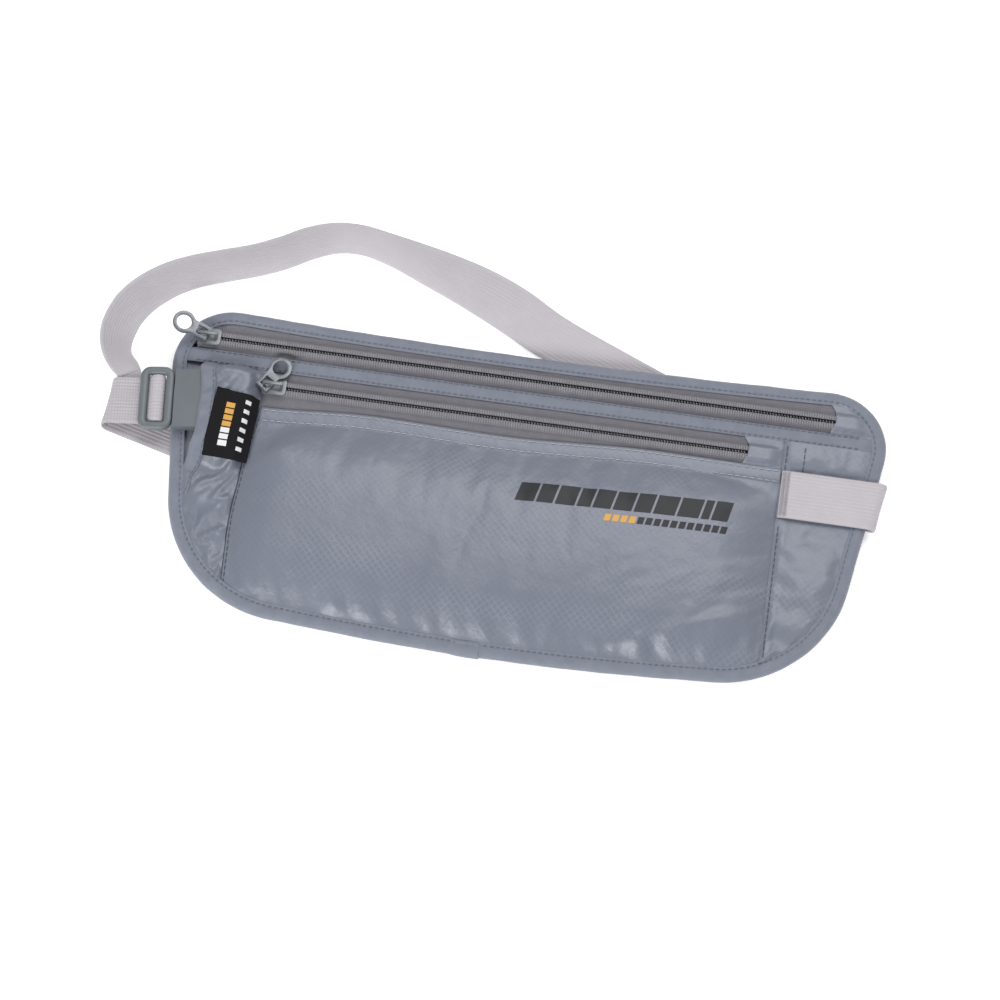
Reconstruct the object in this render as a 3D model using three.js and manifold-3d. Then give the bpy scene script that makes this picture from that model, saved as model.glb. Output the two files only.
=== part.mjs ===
// A flat travel money belt: a zipped fabric pouch on an elastic waist strap with a side-release buckle.
// Millimetres, +Z up. The pouch lies on its back, zips towards +Y, and the strap lies around it.
import * as THREE from 'three';
import { mergeVertices } from 'three/addons/utils/BufferGeometryUtils.js';
import Module from 'manifold-3d';

const wasm = await Module();
wasm.setup();

// ---- Driving dimensions ----
const GAP = 0.3;
// Pouch outline, about the middle of the pouch
const TOP_Y = 66.5;
const TOP_DIP = 2.4;
const TOP_CORNER = { x: 122, y: 42.5, r: 24 };
const BOTTOM_CORNER = { x: 84.5, y: -9, r: 53 };
const BOTTOM_BOW = 3.4;
const FLANGE = 6.2;
const SEW_IN = 2.2;
// Heights of the layers
const STRAP_THICK = 1.3;
const BINDING = { low: 1.6, high: 6.1, cloth: 0.4 };
const BACK = { low: 2.3, high: 3.3 };
const REAR_LINING_Z = 3.6;
const DIVIDER_LOW = 3.6;
const DIVIDER_THICK = 0.3;
const DIVIDER_RISE = 4.6;
const FRONT_LINING_Z = 8.9;
const LINING_THICK = 0.2;
const CLOTH_LOW = 5.0;
const CLOTH_THICK = 0.4;
const FRONT_RISE = 8.4;
const WING_RISE = 6.3;
const OVER_LOW = CLOTH_LOW + CLOTH_THICK + GAP;
// Seams and zips
const LEFT_SEAM_X = -108;
const RIGHT_SEAM_X = 105;
const FRONT_TOP_Y = 28.5;
const BAND = { low: 41.8, high: 48.2 };
const UPPER_ZIP = { y: 52.8, left: -133.5, right: 121, slider: -133 };
const LOWER_ZIP = { y: 34.8, left: -107.6, right: 86.5, slider: -102.9 };
const ZIP_SLOT = 1.4;
const COIL = { width: 2, height: 1.3 };
const SLIDER = { length: 10.5, width: 7.2, topLow: 7.3, topHigh: 8.1, legX: 3.5, barLow: 11, barHigh: 12 };
const FLANGE_LOW = 6.5;
const PULL = { thick: 1.1, ringAt: 10.8, ringR: 4.7, holeR: 3.1, baseHalf: 3, slotHalf: 1.8 };
const UPPER_PULL_LIFT = THREE.MathUtils.degToRad(15);
const UPPER_PULL_YAW = THREE.MathUtils.degToRad(-16);
const LOWER_PULL_YAW = THREE.MathUtils.degToRad(56);
// Left wing pocket
const WING_MOUTH_X = -132.8;
const WING_BINDING_WIDTH = 7;
// Buckle, in its own frame: u along the strap from the pouch's edge, v across
const BUCKLE = { x: -143.2, y: 22.8, turn: THREE.MathUtils.degToRad(6.5), low: 6.4, high: 11 };
const STRAP_HALF = 10;
// Middle of the whole belt's box, which becomes the origin
const BELT_MIDDLE = { x: -14.387, y: 20.389 };

const COLOURS = {
  ripstop: 0x7c838c, binding: 0x6f7681, mesh: 0x5d646d, lining: 0xa9adb3, tape: 0x7d7c80,
  coil: 0x2a2b2e, slider: 0x7f8588, plastic: 0x6c7775, elastic: 0xbab4b6, thread: 0x8e8b8f, label: 0x1d1d20,
};

function material(name, roughness = 0.8, metalness = 0) {
  return new THREE.MeshStandardMaterial({ color: COLOURS[name], roughness, metalness });
}

// ---- Solid helpers ----
function closedGeometry(points, triangles) {
  const geometry = new THREE.BufferGeometry();
  geometry.setAttribute('position', new THREE.Float32BufferAttribute(points.flat(), 3));
  geometry.setIndex(triangles);
  return geometry;
}

function toManifold(geometry) {
  const bare = geometry.clone();
  bare.deleteAttribute('normal');
  bare.deleteAttribute('uv');
  const merged = mergeVertices(bare, 1e-4);
  return new wasm.Manifold(new wasm.Mesh({
    numProp: 3,
    vertProperties: new Float32Array(merged.attributes.position.array),
    triVerts: new Uint32Array(merged.index.array),
  }));
}

function fromManifold(solid) {
  const mesh = solid.getMesh();
  const geometry = new THREE.BufferGeometry();
  geometry.setAttribute('position', new THREE.BufferAttribute(new Float32Array(mesh.vertProperties), 3));
  geometry.setIndex(Array.from(mesh.triVerts));
  return geometry;
}

function combine(first, joined, cuts = []) {
  let solid = toManifold(first);
  for (const piece of joined) solid = solid.add(toManifold(piece));
  for (const piece of cuts) solid = solid.subtract(toManifold(piece));
  return fromManifold(solid);
}

function box(x0, x1, y0, y1, z0, z1) {
  const geometry = new THREE.BoxGeometry(x1 - x0, y1 - y0, z1 - z0);
  return geometry.translate((x0 + x1) / 2, (y0 + y1) / 2, (z0 + z1) / 2);
}

function plate(shape, z0, z1) {
  const options = { depth: z1 - z0, bevelEnabled: false, curveSegments: 10 };
  return new THREE.ExtrudeGeometry(shape, options).translate(0, 0, z0);
}

// A thin sheet: topPoint(u, v) gives its upper face, u to the right and v upwards
function sheet(columns, rows, thickness, topPoint) {
  const points = [];
  const triangles = [];
  const stride = columns + 1;
  const layer = stride * (rows + 1);
  for (const drop of [0, thickness]) {
    for (let j = 0; j <= rows; j += 1) {
      for (let i = 0; i <= columns; i += 1) {
        const [x, y, z] = topPoint(i / columns, j / rows);
        points.push([x, y, z - drop]);
      }
    }
  }
  const quad = (a, b, c, d) => triangles.push(a, b, c, a, c, d);
  for (let j = 0; j < rows; j += 1) {
    for (let i = 0; i < columns; i += 1) {
      const a = j * stride + i;
      quad(a, a + 1, a + stride + 1, a + stride);
      quad(layer + a, layer + a + stride, layer + a + stride + 1, layer + a + 1);
    }
  }
  const last = rows * stride;
  for (let i = 0; i < columns; i += 1) {
    quad(layer + i, layer + i + 1, i + 1, i);
    quad(last + i, last + i + 1, layer + last + i + 1, layer + last + i);
  }
  for (let j = 0; j < rows; j += 1) {
    const left = j * stride;
    const right = left + columns;
    quad(layer + left + stride, layer + left, left, left + stride);
    quad(right + stride, right, layer + right, layer + right + stride);
  }
  return closedGeometry(points, triangles);
}

// A closed section swept round a closed outline: both lists are loops
function closedSweep(outlines) {
  const around = outlines[0].length;
  const points = outlines.flat();
  const triangles = [];
  for (let k = 0; k < outlines.length; k += 1) {
    const next = (k + 1) % outlines.length;
    for (let i = 0; i < around; i += 1) {
      const j = (i + 1) % around;
      triangles.push(k * around + i, k * around + j, next * around + j);
      triangles.push(k * around + i, next * around + j, next * around + i);
    }
  }
  return closedGeometry(points, triangles);
}

// A strap of rectangular section through stations { at, side, half }, kept above the ground
function ribbon(stations, thickness) {
  const points = [];
  const triangles = [];
  stations.forEach((station, i) => {
    const before = stations[Math.max(i - 1, 0)].at;
    const after = stations[Math.min(i + 1, stations.length - 1)].at;
    const along = new THREE.Vector3().subVectors(after, before).normalize();
    const face = new THREE.Vector3().crossVectors(along, station.side).normalize();
    for (const [s, t] of [[-1, -1], [1, -1], [1, 1], [-1, 1]]) {
      const corner = station.at.clone().addScaledVector(station.side, s * station.half);
      corner.addScaledVector(face, (t * thickness) / 2);
      corner.z = Math.max(corner.z, 0);
      points.push(corner.toArray());
    }
  });
  for (let i = 0; i < stations.length - 1; i += 1) {
    for (let k = 0; k < 4; k += 1) {
      const a = i * 4 + k;
      const b = i * 4 + ((k + 1) % 4);
      triangles.push(a, b, b + 4, a, b + 4, a + 4);
    }
  }
  const end = (stations.length - 1) * 4;
  triangles.push(0, 2, 1, 0, 3, 2, end, end + 1, end + 2, end, end + 2, end + 3);
  return closedGeometry(points, triangles);
}

function smoothCurve(triples) {
  const points = triples.map((triple) => new THREE.Vector3(...triple));
  return new THREE.CatmullRomCurve3(points, false, 'centripetal');
}

// Smooth stations through a few hand-placed ones: [x, y, z, side x, side y, side z, half width]
function smoothStations(rows, steps) {
  const at = smoothCurve(rows.map((row) => row.slice(0, 3)));
  const side = smoothCurve(rows.map((row) => row.slice(3, 6)));
  const stations = [];
  for (let i = 0; i <= steps; i += 1) {
    const t = i / steps;
    const place = t * (rows.length - 1);
    const low = Math.min(Math.floor(place), rows.length - 2);
    const half = THREE.MathUtils.lerp(rows[low][6], rows[low + 1][6], place - low);
    stations.push({ at: at.getPoint(t), side: side.getPoint(t).normalize(), half });
  }
  return stations;
}

// A strap wrapped half round a level axis, from heading dir0 on the start level to the level below
function foldStations(start, heading, axis, radius, steps, half) {
  const across = new THREE.Vector3().crossVectors(axis, new THREE.Vector3(0, 0, 1)).normalize();
  if (across.dot(heading) < 0) across.negate();
  const drift = heading.dot(axis) / heading.dot(across);
  const side0 = new THREE.Vector3().crossVectors(new THREE.Vector3(0, 0, 1), heading);
  const stations = [];
  for (let i = 0; i <= steps; i += 1) {
    const turn = (i / steps) * Math.PI;
    const tangent = across.clone().multiplyScalar(Math.cos(turn));
    tangent.z -= Math.sin(turn);
    const at = start.clone().addScaledVector(across, radius * Math.sin(turn));
    at.z += radius * (Math.cos(turn) - 1);
    at.addScaledVector(axis, drift * radius * turn);
    const side = axis.clone().multiplyScalar(side0.dot(axis)).addScaledVector(tangent, side0.dot(across));
    stations.push({ at, side, half });
  }
  return stations;
}

function smoothStep(value) {
  const t = THREE.MathUtils.clamp(value, 0, 1);
  return t * t * (3 - 2 * t);
}

// ---- Pouch outline, drawn in by an inset ----
const cornerLine = Math.hypot(TOP_CORNER.x - BOTTOM_CORNER.x, TOP_CORNER.y - BOTTOM_CORNER.y);
const SIDE_ANGLE = Math.atan2(TOP_CORNER.y - BOTTOM_CORNER.y, TOP_CORNER.x - BOTTOM_CORNER.x)
  - Math.acos((BOTTOM_CORNER.r - TOP_CORNER.r) / cornerLine);

function topEdge(x, inset) {
  const reach = x / TOP_CORNER.x;
  if (Math.abs(reach) < 1) return TOP_Y - inset - TOP_DIP * (1 - reach * reach);
  const r = TOP_CORNER.r - inset;
  const dx = Math.abs(x) - TOP_CORNER.x;
  return TOP_CORNER.y + Math.sqrt(Math.max(r * r - dx * dx, 0));
}

function bottomEdge(x, inset) {
  const reach = x / BOTTOM_CORNER.x;
  const flat = BOTTOM_CORNER.y - BOTTOM_CORNER.r + inset;
  if (Math.abs(reach) < 1) return flat - BOTTOM_BOW * (1 - reach * reach);
  const r = BOTTOM_CORNER.r - inset;
  const dx = Math.abs(x) - BOTTOM_CORNER.x;
  return BOTTOM_CORNER.y - Math.sqrt(Math.max(r * r - dx * dx, 0));
}

// Half the pouch's width at a height y, below the top corners
function sideEdge(y, inset) {
  const top = TOP_CORNER.r - inset;
  const bottom = BOTTOM_CORNER.r - inset;
  const topY = TOP_CORNER.y + top * Math.sin(SIDE_ANGLE);
  const bottomY = BOTTOM_CORNER.y + bottom * Math.sin(SIDE_ANGLE);
  if (y > topY) return TOP_CORNER.x + Math.sqrt(Math.max(top * top - (y - TOP_CORNER.y) ** 2, 0));
  if (y < bottomY) {
    return BOTTOM_CORNER.x + Math.sqrt(Math.max(bottom * bottom - (y - BOTTOM_CORNER.y) ** 2, 0));
  }
  const topX = TOP_CORNER.x + top * Math.cos(SIDE_ANGLE);
  return topX + (y - topY) * -Math.tan(SIDE_ANGLE);
}

// Points round the pouch, anticlockwise from the bottom middle
function outline(inset) {
  const points = [];
  for (let i = 0; i < 8; i += 1) {
    const x = (BOTTOM_CORNER.x * i) / 8;
    points.push([x, bottomEdge(x, inset)]);
  }
  for (const [corner, from, to, steps] of [
    [BOTTOM_CORNER, -Math.PI / 2, SIDE_ANGLE, 12],
    [TOP_CORNER, SIDE_ANGLE, Math.PI / 2, 10],
  ]) {
    for (let i = 0; i <= steps; i += 1) {
      const angle = THREE.MathUtils.lerp(from, to, i / steps);
      const r = corner.r - inset;
      points.push([corner.x + r * Math.cos(angle), corner.y + r * Math.sin(angle)]);
    }
  }
  for (let i = 1; i < 8; i += 1) {
    const x = TOP_CORNER.x * (1 - i / 8);
    points.push([x, topEdge(x, inset)]);
  }
  const mirrored = points.slice(1).reverse().map(([x, y]) => [-x, y]);
  return [...points, [0, topEdge(0, inset)], ...mirrored];
}

function outlineShape(inset) {
  return new THREE.Shape(outline(inset).map(([x, y]) => new THREE.Vector2(x, y)));
}

// ---- Pouch pieces ----
function makeEdgeBinding() {
  const { low, high, cloth } = BINDING;
  const section = [
    [0, low], [0, high], [FLANGE, high], [FLANGE, high - cloth],
    [0.5, high - cloth], [0.5, low + cloth], [FLANGE, low + cloth], [FLANGE, low],
  ];
  return closedSweep(section.map(([inset, z]) => outline(inset).map(([x, y]) => [x, y, z])));
}

function makeBackPanel() {
  return plate(outlineShape(0.8), BACK.low, BACK.high);
}

// A sheet between two upright lines, with its lower edge following the pouch
function seamedSheet(left, right, bottomInset, top, columns, rows, thickness, height) {
  return sheet(columns, rows, thickness, (u, v) => {
    const x = THREE.MathUtils.lerp(left, right, u);
    const y = THREE.MathUtils.lerp(bottomEdge(x, bottomInset), top, v);
    return [x, y, height(x, y)];
  });
}

// 0 at the sheet's sewn edges, 1 over its puffed middle
function puff(x, y, left, right, bottomInset, top, ramp) {
  const nearSide = Math.min(x - left, right - x) / ramp;
  const nearBottom = (y - bottomEdge(x, bottomInset)) / ramp;
  const nearTop = (top - y) / ramp;
  return smoothStep(nearSide) * smoothStep(nearBottom) * smoothStep(nearTop);
}

function makeDivider() {
  const left = LEFT_SEAM_X + 6;
  const right = RIGHT_SEAM_X - 6;
  const top = CLOTH_LOW + 18;
  return sheet(28, 16, DIVIDER_THICK, (u, v) => {
    const y = THREE.MathUtils.lerp(-56, BAND.low + 3, v);
    const reach = sideEdge(y, SEW_IN);
    const x = THREE.MathUtils.lerp(-reach, reach, u);
    const inside = x > left && x < right && y < top;
    const rise = inside ? puff(x, y, left, right, 11, top, 9) : 0;
    return [x, y, DIVIDER_LOW + DIVIDER_THICK + DIVIDER_RISE * rise];
  });
}

function makeFrontPanel() {
  const left = LEFT_SEAM_X + 0.2;
  const right = RIGHT_SEAM_X - 0.2;
  return seamedSheet(left, right, SEW_IN, FRONT_TOP_Y, 30, 14, CLOTH_THICK, (x, y) => {
    const rise = puff(x, y, left + 3, right - 3, 8, FRONT_TOP_Y - 2, 10);
    return CLOTH_LOW + CLOTH_THICK + FRONT_RISE * rise;
  });
}

function makeLining(left, right, bottomInset, top, low) {
  return seamedSheet(left, right, bottomInset, top, 12, 4, LINING_THICK, () => low + LINING_THICK);
}

// The left wing stands up over the buckle and is open along its left edge
function wingHeight(x, y) {
  const fromSeam = smoothStep((LEFT_SEAM_X - 0.3 - x) / 3.4);
  const fromBottom = smoothStep((y + 2) / 12);
  const fromTop = smoothStep((BAND.low - 0.3 - y) / 2.6);
  return CLOTH_LOW + CLOTH_THICK + WING_RISE * fromSeam * fromBottom * fromTop;
}

function wingLeft(y) {
  return Math.max(-sideEdge(y, SEW_IN), WING_MOUTH_X);
}

function makeLeftWing() {
  return sheet(14, 22, CLOTH_THICK, (u, v) => {
    const y = THREE.MathUtils.lerp(-54, BAND.low - GAP, v * (1.35 - 0.35 * v));
    const x = THREE.MathUtils.lerp(wingLeft(y), LEFT_SEAM_X - 0.2, u);
    return [x, y, wingHeight(x, y)];
  });
}

function makeWingBinding() {
  return sheet(4, 16, 0.5, (u, v) => {
    const y = THREE.MathUtils.lerp(-22, BAND.low - GAP, v * (1.35 - 0.35 * v));
    const left = Math.max(WING_MOUTH_X - 0.7, -sideEdge(y, FLANGE + GAP));
    const x = THREE.MathUtils.lerp(left, WING_MOUTH_X - 0.7 + WING_BINDING_WIDTH, u);
    return [x, y, wingHeight(x, y) + GAP + 0.5];
  });
}

function makeRightWing() {
  return sheet(6, 18, CLOTH_THICK, (u, v) => {
    const y = THREE.MathUtils.lerp(-54, BAND.low + 3, v);
    const x = THREE.MathUtils.lerp(RIGHT_SEAM_X + 0.2, sideEdge(y, SEW_IN), u);
    return [x, y, CLOTH_LOW + CLOTH_THICK];
  });
}

function makeUpperTape() {
  const low = UPPER_ZIP.y + ZIP_SLOT / 2;
  return sheet(30, 2, CLOTH_THICK, (u, v) => {
    const x = THREE.MathUtils.lerp(-137, 137, u);
    return [x, THREE.MathUtils.lerp(low, topEdge(x, SEW_IN), v), CLOTH_LOW + CLOTH_THICK];
  });
}

function makeFlatTape(left, right, low, high) {
  return box(left, right, low, high, CLOTH_LOW, CLOTH_LOW + CLOTH_THICK);
}

function makeBand() {
  return sheet(24, 1, 0.6, (u, v) => {
    const y = THREE.MathUtils.lerp(BAND.low, BAND.high, v);
    const reach = sideEdge(y, FLANGE + GAP);
    return [THREE.MathUtils.lerp(-reach, reach, u), y, OVER_LOW + 0.6];
  });
}

function makeUpperCover() {
  return sheet(6, 2, CLOTH_THICK, (u, v) => {
    const x = THREE.MathUtils.lerp(UPPER_ZIP.right + 1, TOP_CORNER.x + 13.5, u);
    return [x, THREE.MathUtils.lerp(BAND.high + GAP, topEdge(x, FLANGE + GAP), v), OVER_LOW + CLOTH_THICK];
  });
}

function makeCoil(zip, sign) {
  const near = zip.y + (sign * ZIP_SLOT) / 2;
  const far = near + sign * COIL.width;
  const low = Math.min(near, far);
  return box(zip.left, zip.right, low, low + COIL.width, OVER_LOW, OVER_LOW + COIL.height);
}

// ---- Slider and pull, about the slider's middle ----
function sliderPlan() {
  const halfLength = SLIDER.length / 2;
  const halfWidth = SLIDER.width / 2;
  const nose = halfWidth * 0.45;
  const shape = new THREE.Shape();
  shape.moveTo(-halfLength, -nose);
  shape.quadraticCurveTo(-halfLength * 0.6, -halfWidth, 0, -halfWidth);
  shape.lineTo(halfLength * 0.6, -halfWidth);
  shape.quadraticCurveTo(halfLength, -halfWidth, halfLength, -halfWidth * 0.5);
  shape.lineTo(halfLength, halfWidth * 0.5);
  shape.quadraticCurveTo(halfLength, halfWidth, halfLength * 0.6, halfWidth);
  shape.lineTo(0, halfWidth);
  shape.quadraticCurveTo(-halfLength * 0.6, halfWidth, -halfLength, nose);
  shape.closePath();
  return shape;
}

function makeSlider() {
  const { topLow, topHigh, legX, barLow, barHigh, width } = SLIDER;
  const top = plate(sliderPlan(), topLow, topHigh);
  const flanges = [-1, 1].map((sign) => {
    const outer = (sign * width) / 2;
    const inner = outer - sign * 0.6;
    return box(-2, 3.4, Math.min(outer, inner), Math.max(outer, inner), FLANGE_LOW, topLow + 0.2);
  });
  const post = box(-3.2, -1.4, -0.4, 0.4, 4.3, topLow + 0.2);
  const under = box(-4.6, 4, -2.6, 2.6, 4.2, 4.7);
  const legs = [-1, 1].map((sign) => {
    const x = sign * legX;
    return box(x - 0.5, x + 0.5, -0.6, 0.6, topHigh - 0.2, barHigh);
  });
  const bar = box(-legX, legX, -0.6, 0.6, barLow, barHigh);
  return combine(top, [...flanges, post, under, ...legs, bar]);
}

// The pull lies along +X from its hinge end, which is the origin
function makePull() {
  const { ringAt, ringR, holeR, baseHalf, slotHalf, thick } = PULL;
  const shape = new THREE.Shape();
  shape.moveTo(-0.4, -baseHalf);
  shape.lineTo(4.6, -baseHalf);
  shape.quadraticCurveTo(6, -baseHalf * 0.9, ringAt - ringR * 0.75, -ringR * 0.66);
  shape.absarc(ringAt, 0, ringR, Math.PI + 0.72, Math.PI * 3 - 0.72, false);
  shape.quadraticCurveTo(6, baseHalf * 0.9, 4.6, baseHalf);
  shape.lineTo(-0.4, baseHalf);
  shape.closePath();
  const ring = new THREE.Path();
  ring.absarc(ringAt, 0, holeR, 0, Math.PI * 2, true);
  const slot = new THREE.Path();
  slot.moveTo(0.7, -slotHalf);
  slot.lineTo(0.7, slotHalf);
  slot.lineTo(4.9, slotHalf);
  slot.lineTo(4.9, -slotHalf);
  slot.closePath();
  shape.holes.push(ring, slot);
  return plate(shape, -thick / 2, thick / 2);
}

// ---- Buckle, in its own frame ----
const FEMALE = { left: 1.9, right: 29.6, half: 12.4, mouthHalf: 10.4, wall: 0.9 };
const SLOT_LEFT = -9;
const BAR = { left: -5.7, right: -4.1, low: 7.8, high: 9.5 };
const RIGHT_RAIL = -1.9;
const FRAME = { left: -12.2, right: 1.6, half: 13.5, windowHalf: 10.5, railLow: 7.5 };

function makeFemale() {
  const { left, right, half, mouthHalf, wall } = FEMALE;
  const shape = new THREE.Shape();
  shape.moveTo(left, -half);
  shape.lineTo(right - 6, -half);
  shape.quadraticCurveTo(right, -half, right, -half + 4);
  shape.lineTo(right, half - 4);
  shape.quadraticCurveTo(right, half, right - 6, half);
  shape.lineTo(left, half);
  shape.closePath();
  const body = plate(shape, BUCKLE.low, BUCKLE.high);
  const cavity = box(left - 1, 23, -mouthHalf, mouthHalf, BUCKLE.low + wall, BUCKLE.high - wall);
  const windows = box(14.5, 22, -half - 1, half + 1, BUCKLE.low + wall, BUCKLE.high - wall);
  const slot = box(25, 27, -mouthHalf, mouthHalf, BUCKLE.low - 1, BUCKLE.high + 1);
  const overBar = box(26, right + 1, -mouthHalf, mouthHalf, 9.7, BUCKLE.high + 1);
  const underBar = box(26, right + 1, -mouthHalf, mouthHalf, BUCKLE.low - 1, 7.7);
  return combine(body, [], [cavity, windows, slot, overBar, underBar]);
}

function makeMale() {
  const { left, right, half, windowHalf, railLow } = FRAME;
  const outer = new THREE.Shape();
  outer.moveTo(left + 2, -half);
  outer.lineTo(right, -half + 0.8);
  outer.lineTo(right, half - 0.8);
  outer.lineTo(left + 2, half);
  outer.quadraticCurveTo(left, half, left, half - 2);
  outer.lineTo(left, -half + 2);
  outer.quadraticCurveTo(left, -half, left + 2, -half);
  const frame = plate(outer, railLow, BUCKLE.high);
  const window = box(SLOT_LEFT, RIGHT_RAIL, -windowHalf, windowHalf, railLow - 1, BUCKLE.high + 1);
  const bar = box(BAR.left, BAR.right, -windowHalf - 1, windowHalf + 1, BAR.low, BAR.high);
  const tongue = box(right - 1, 19, -3, 3, 7.7, 9.7);
  const root = box(right - 1, right + 1.6, -6.4, 6.4, 7.7, 9.7);
  const open = combine(frame, [], [window]);
  return combine(open, [bar, tongue, root]);
}

function makeArm(sign) {
  const shape = new THREE.Shape();
  shape.moveTo(2.2, 6.8);
  shape.lineTo(14.5, 6.2);
  shape.lineTo(20.5, 5.4);
  shape.quadraticCurveTo(21.4, 8.2, 19.6, 9.6);
  shape.lineTo(16, 10.1);
  shape.lineTo(14.8, 8.2);
  shape.lineTo(2.2, 9.2);
  shape.closePath();
  const arm = plate(shape, 7.7, 9.7);
  if (sign > 0) return arm;
  const flipped = toManifold(arm).mirror([0, 1, 0]);
  return fromManifold(flipped);
}

// The webbing loop round the female body's bar, tapering to where it is sewn into the seam
function makeAnchor() {
  const inside = { left: 26.7, right: 29.9, low: 7.4, high: 10 };
  const cloth = 0.8;
  const outer = [
    [33.2, 4.3], [33.2, 4.8], [inside.right + cloth, 9.6], [inside.right + 0.2, inside.high + cloth],
    [inside.left - 0.2, inside.high + cloth], [inside.left - cloth, inside.high + 0.2],
    [inside.left - cloth, inside.low - 0.2], [inside.left - 0.2, inside.low - cloth],
    [inside.right - 1, inside.low - cloth],
  ];
  const shape = new THREE.Shape(outer.map(([u, z]) => new THREE.Vector2(u, z)));
  const loop = new THREE.ExtrudeGeometry(shape, { depth: 18, bevelEnabled: false });
  loop.translate(0, 0, -9).rotateX(Math.PI / 2);
  return combine(loop, [], [box(inside.left, inside.right, -10, 10, inside.low, inside.high)]);
}

// ---- Straps ----
// Outer edge leans out as the loop stands up: lower edge x, y, outward direction, lean in degrees
const LOOP = [
  [2, 66.2, 0.38, 0.925, 2], [-16, 75.4, 0.42, 0.907, 22], [-34, 84.4, 0.4, 0.917, 45],
  [-51, 92, 0.36, 0.933, 62], [-65, 98, 0.28, 0.96, 74], [-77, 101.3, 0.1, 0.995, 78],
  [-87, 100.9, -0.22, 0.975, 78], [-97, 96.8, -0.46, 0.888, 75], [-107, 90.8, -0.45, 0.893, 74],
  [-118, 85.8, -0.34, 0.94, 75], [-130, 81.6, -0.32, 0.947, 75], [-142, 77, -0.44, 0.898, 74],
  [-152, 70.6, -0.62, 0.785, 70], [-160, 62, -0.82, 0.572, 65], [-164.6, 52, -0.95, 0.312, 60],
  [-166, 43.5, -1, 0.02, 58],
];

function loopStation(edge, out, lean) {
  const angle = THREE.MathUtils.degToRad(Math.max(lean, 0));
  const outward = Math.atan2(out.y, out.x);
  const flat = Math.cos(angle);
  const side = new THREE.Vector3(Math.cos(outward) * flat, Math.sin(outward) * flat, Math.sin(angle));
  const at = new THREE.Vector3(edge.x, edge.y, (flat * STRAP_THICK) / 2);
  return { at: at.addScaledVector(side, STRAP_HALF), side, half: STRAP_HALF };
}

function loopStations(rows, steps) {
  const edge = smoothCurve(rows.map(([x, y, , , lean]) => [x, y, lean]));
  const out = smoothCurve(rows.map(([, , outX, outY]) => [outX, outY, 0]));
  const stations = [];
  for (let i = 0; i <= steps; i += 1) {
    const place = edge.getPoint(i / steps);
    stations.push(loopStation(place, out.getPoint(i / steps), place.z));
  }
  return stations;
}

function makeWaistStrap() {
  const axis = new THREE.Vector3(-Math.sin(SIDE_ANGLE), Math.cos(SIDE_ANGLE), 0);
  const radius = 3.2;
  const level = STRAP_THICK / 2 + radius * 2;
  const start = new THREE.Vector3(sideEdge(19, 0), 19, level);
  const heading = new THREE.Vector3(1, 0, 0);
  const front = [RIGHT_SEAM_X + 0.6, 118, 131].map((x) => (
    { at: new THREE.Vector3(x, 19, level), side: new THREE.Vector3(0, 1, 0), half: STRAP_HALF }));
  const wrap = foldStations(start, heading, axis, radius, 10, STRAP_HALF);
  const last = wrap[wrap.length - 1];
  const lastEdge = last.at.clone().addScaledVector(last.side, -STRAP_HALF);
  const under = [lastEdge.x, lastEdge.y, last.side.x, last.side.y, 0];
  const halfway = [80.4, 33.6, 0.355, 0.935, 0];
  const rest = loopStations([under, halfway, ...LOOP], 66);
  return ribbon([...front, ...wrap, ...rest.slice(1)], STRAP_THICK);
}

const buckleFrame = new THREE.Matrix4().makeRotationZ(BUCKLE.turn).setPosition(BUCKLE.x, BUCKLE.y, 0);

function onBuckle(u, z, half = STRAP_HALF) {
  const at = new THREE.Vector3(u, 0, z).applyMatrix4(buckleFrame);
  const side = new THREE.Vector3(0, -1, 0).transformDirection(buckleFrame);
  return [at.x, at.y, at.z, side.x, side.y, side.z, half];
}

function makeBuckleEnd() {
  const handOver = [-170.5, 42.6, 8.9, -0.53, 0, 0.85, 9.6];
  const rows = [
    handOver, [-167.6, 38, 7.2, -0.6, -0.3, 0.7, 8], [-162.8, 33.9, 4.3, -0.72, -0.5, 0.2, 5],
    [-159.6, 28.6, 4, -0.4, -0.9, 0, 5.6], [-156.4, 23.6, 4.25, -0.1, -0.99, 0, 9],
    onBuckle(-9, 4.3), onBuckle(-5, 4.3), onBuckle(-3.3, 5), onBuckle(-2.9, 6.6), onBuckle(-2.9, 8.8),
    onBuckle(-3.4, 10.1), onBuckle(-4.9, 10.6), onBuckle(-6.3, 10.1), onBuckle(-6.9, 8.8),
    onBuckle(-7.7, 7.1), onBuckle(-9.4, 6.4), onBuckle(-13, 6.3),
  ];
  return ribbon(smoothStations(rows, 56), STRAP_THICK);
}

function makeTail() {
  const front = onBuckle(-13.4, 6.3);
  const heading = new THREE.Vector3(-1, 0, 0).transformDirection(buckleFrame);
  const tilt = THREE.MathUtils.degToRad(90 - 10.5) + BUCKLE.turn;
  const axis = new THREE.Vector3(Math.cos(tilt), Math.sin(tilt), 0);
  const turnAt = onBuckle(-22.5, 6.3);
  const start = new THREE.Vector3(turnAt[0], turnAt[1], turnAt[2]);
  const radius = (6.3 - STRAP_THICK / 2) / 2;
  const side = new THREE.Vector3(0, -1, 0).transformDirection(buckleFrame);
  const first = { at: new THREE.Vector3(front[0], front[1], front[2]), side, half: STRAP_HALF };
  const fold = foldStations(start, heading, axis, radius, 10, STRAP_HALF);
  const last = fold[fold.length - 1];
  const onward = new THREE.Vector3().crossVectors(last.side, new THREE.Vector3(0, 0, -1));
  const tail = [25, 55, 92].map((length) => (
    { at: last.at.clone().addScaledVector(onward, length), side: last.side, half: STRAP_HALF }));
  return ribbon([first, ...fold, ...tail], STRAP_THICK);
}

// ---- Assembly ----
const group = new THREE.Group();
const pouch = new THREE.Group();
pouch.position.set(-BELT_MIDDLE.x, -BELT_MIDDLE.y, 0);
group.add(pouch);

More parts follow.
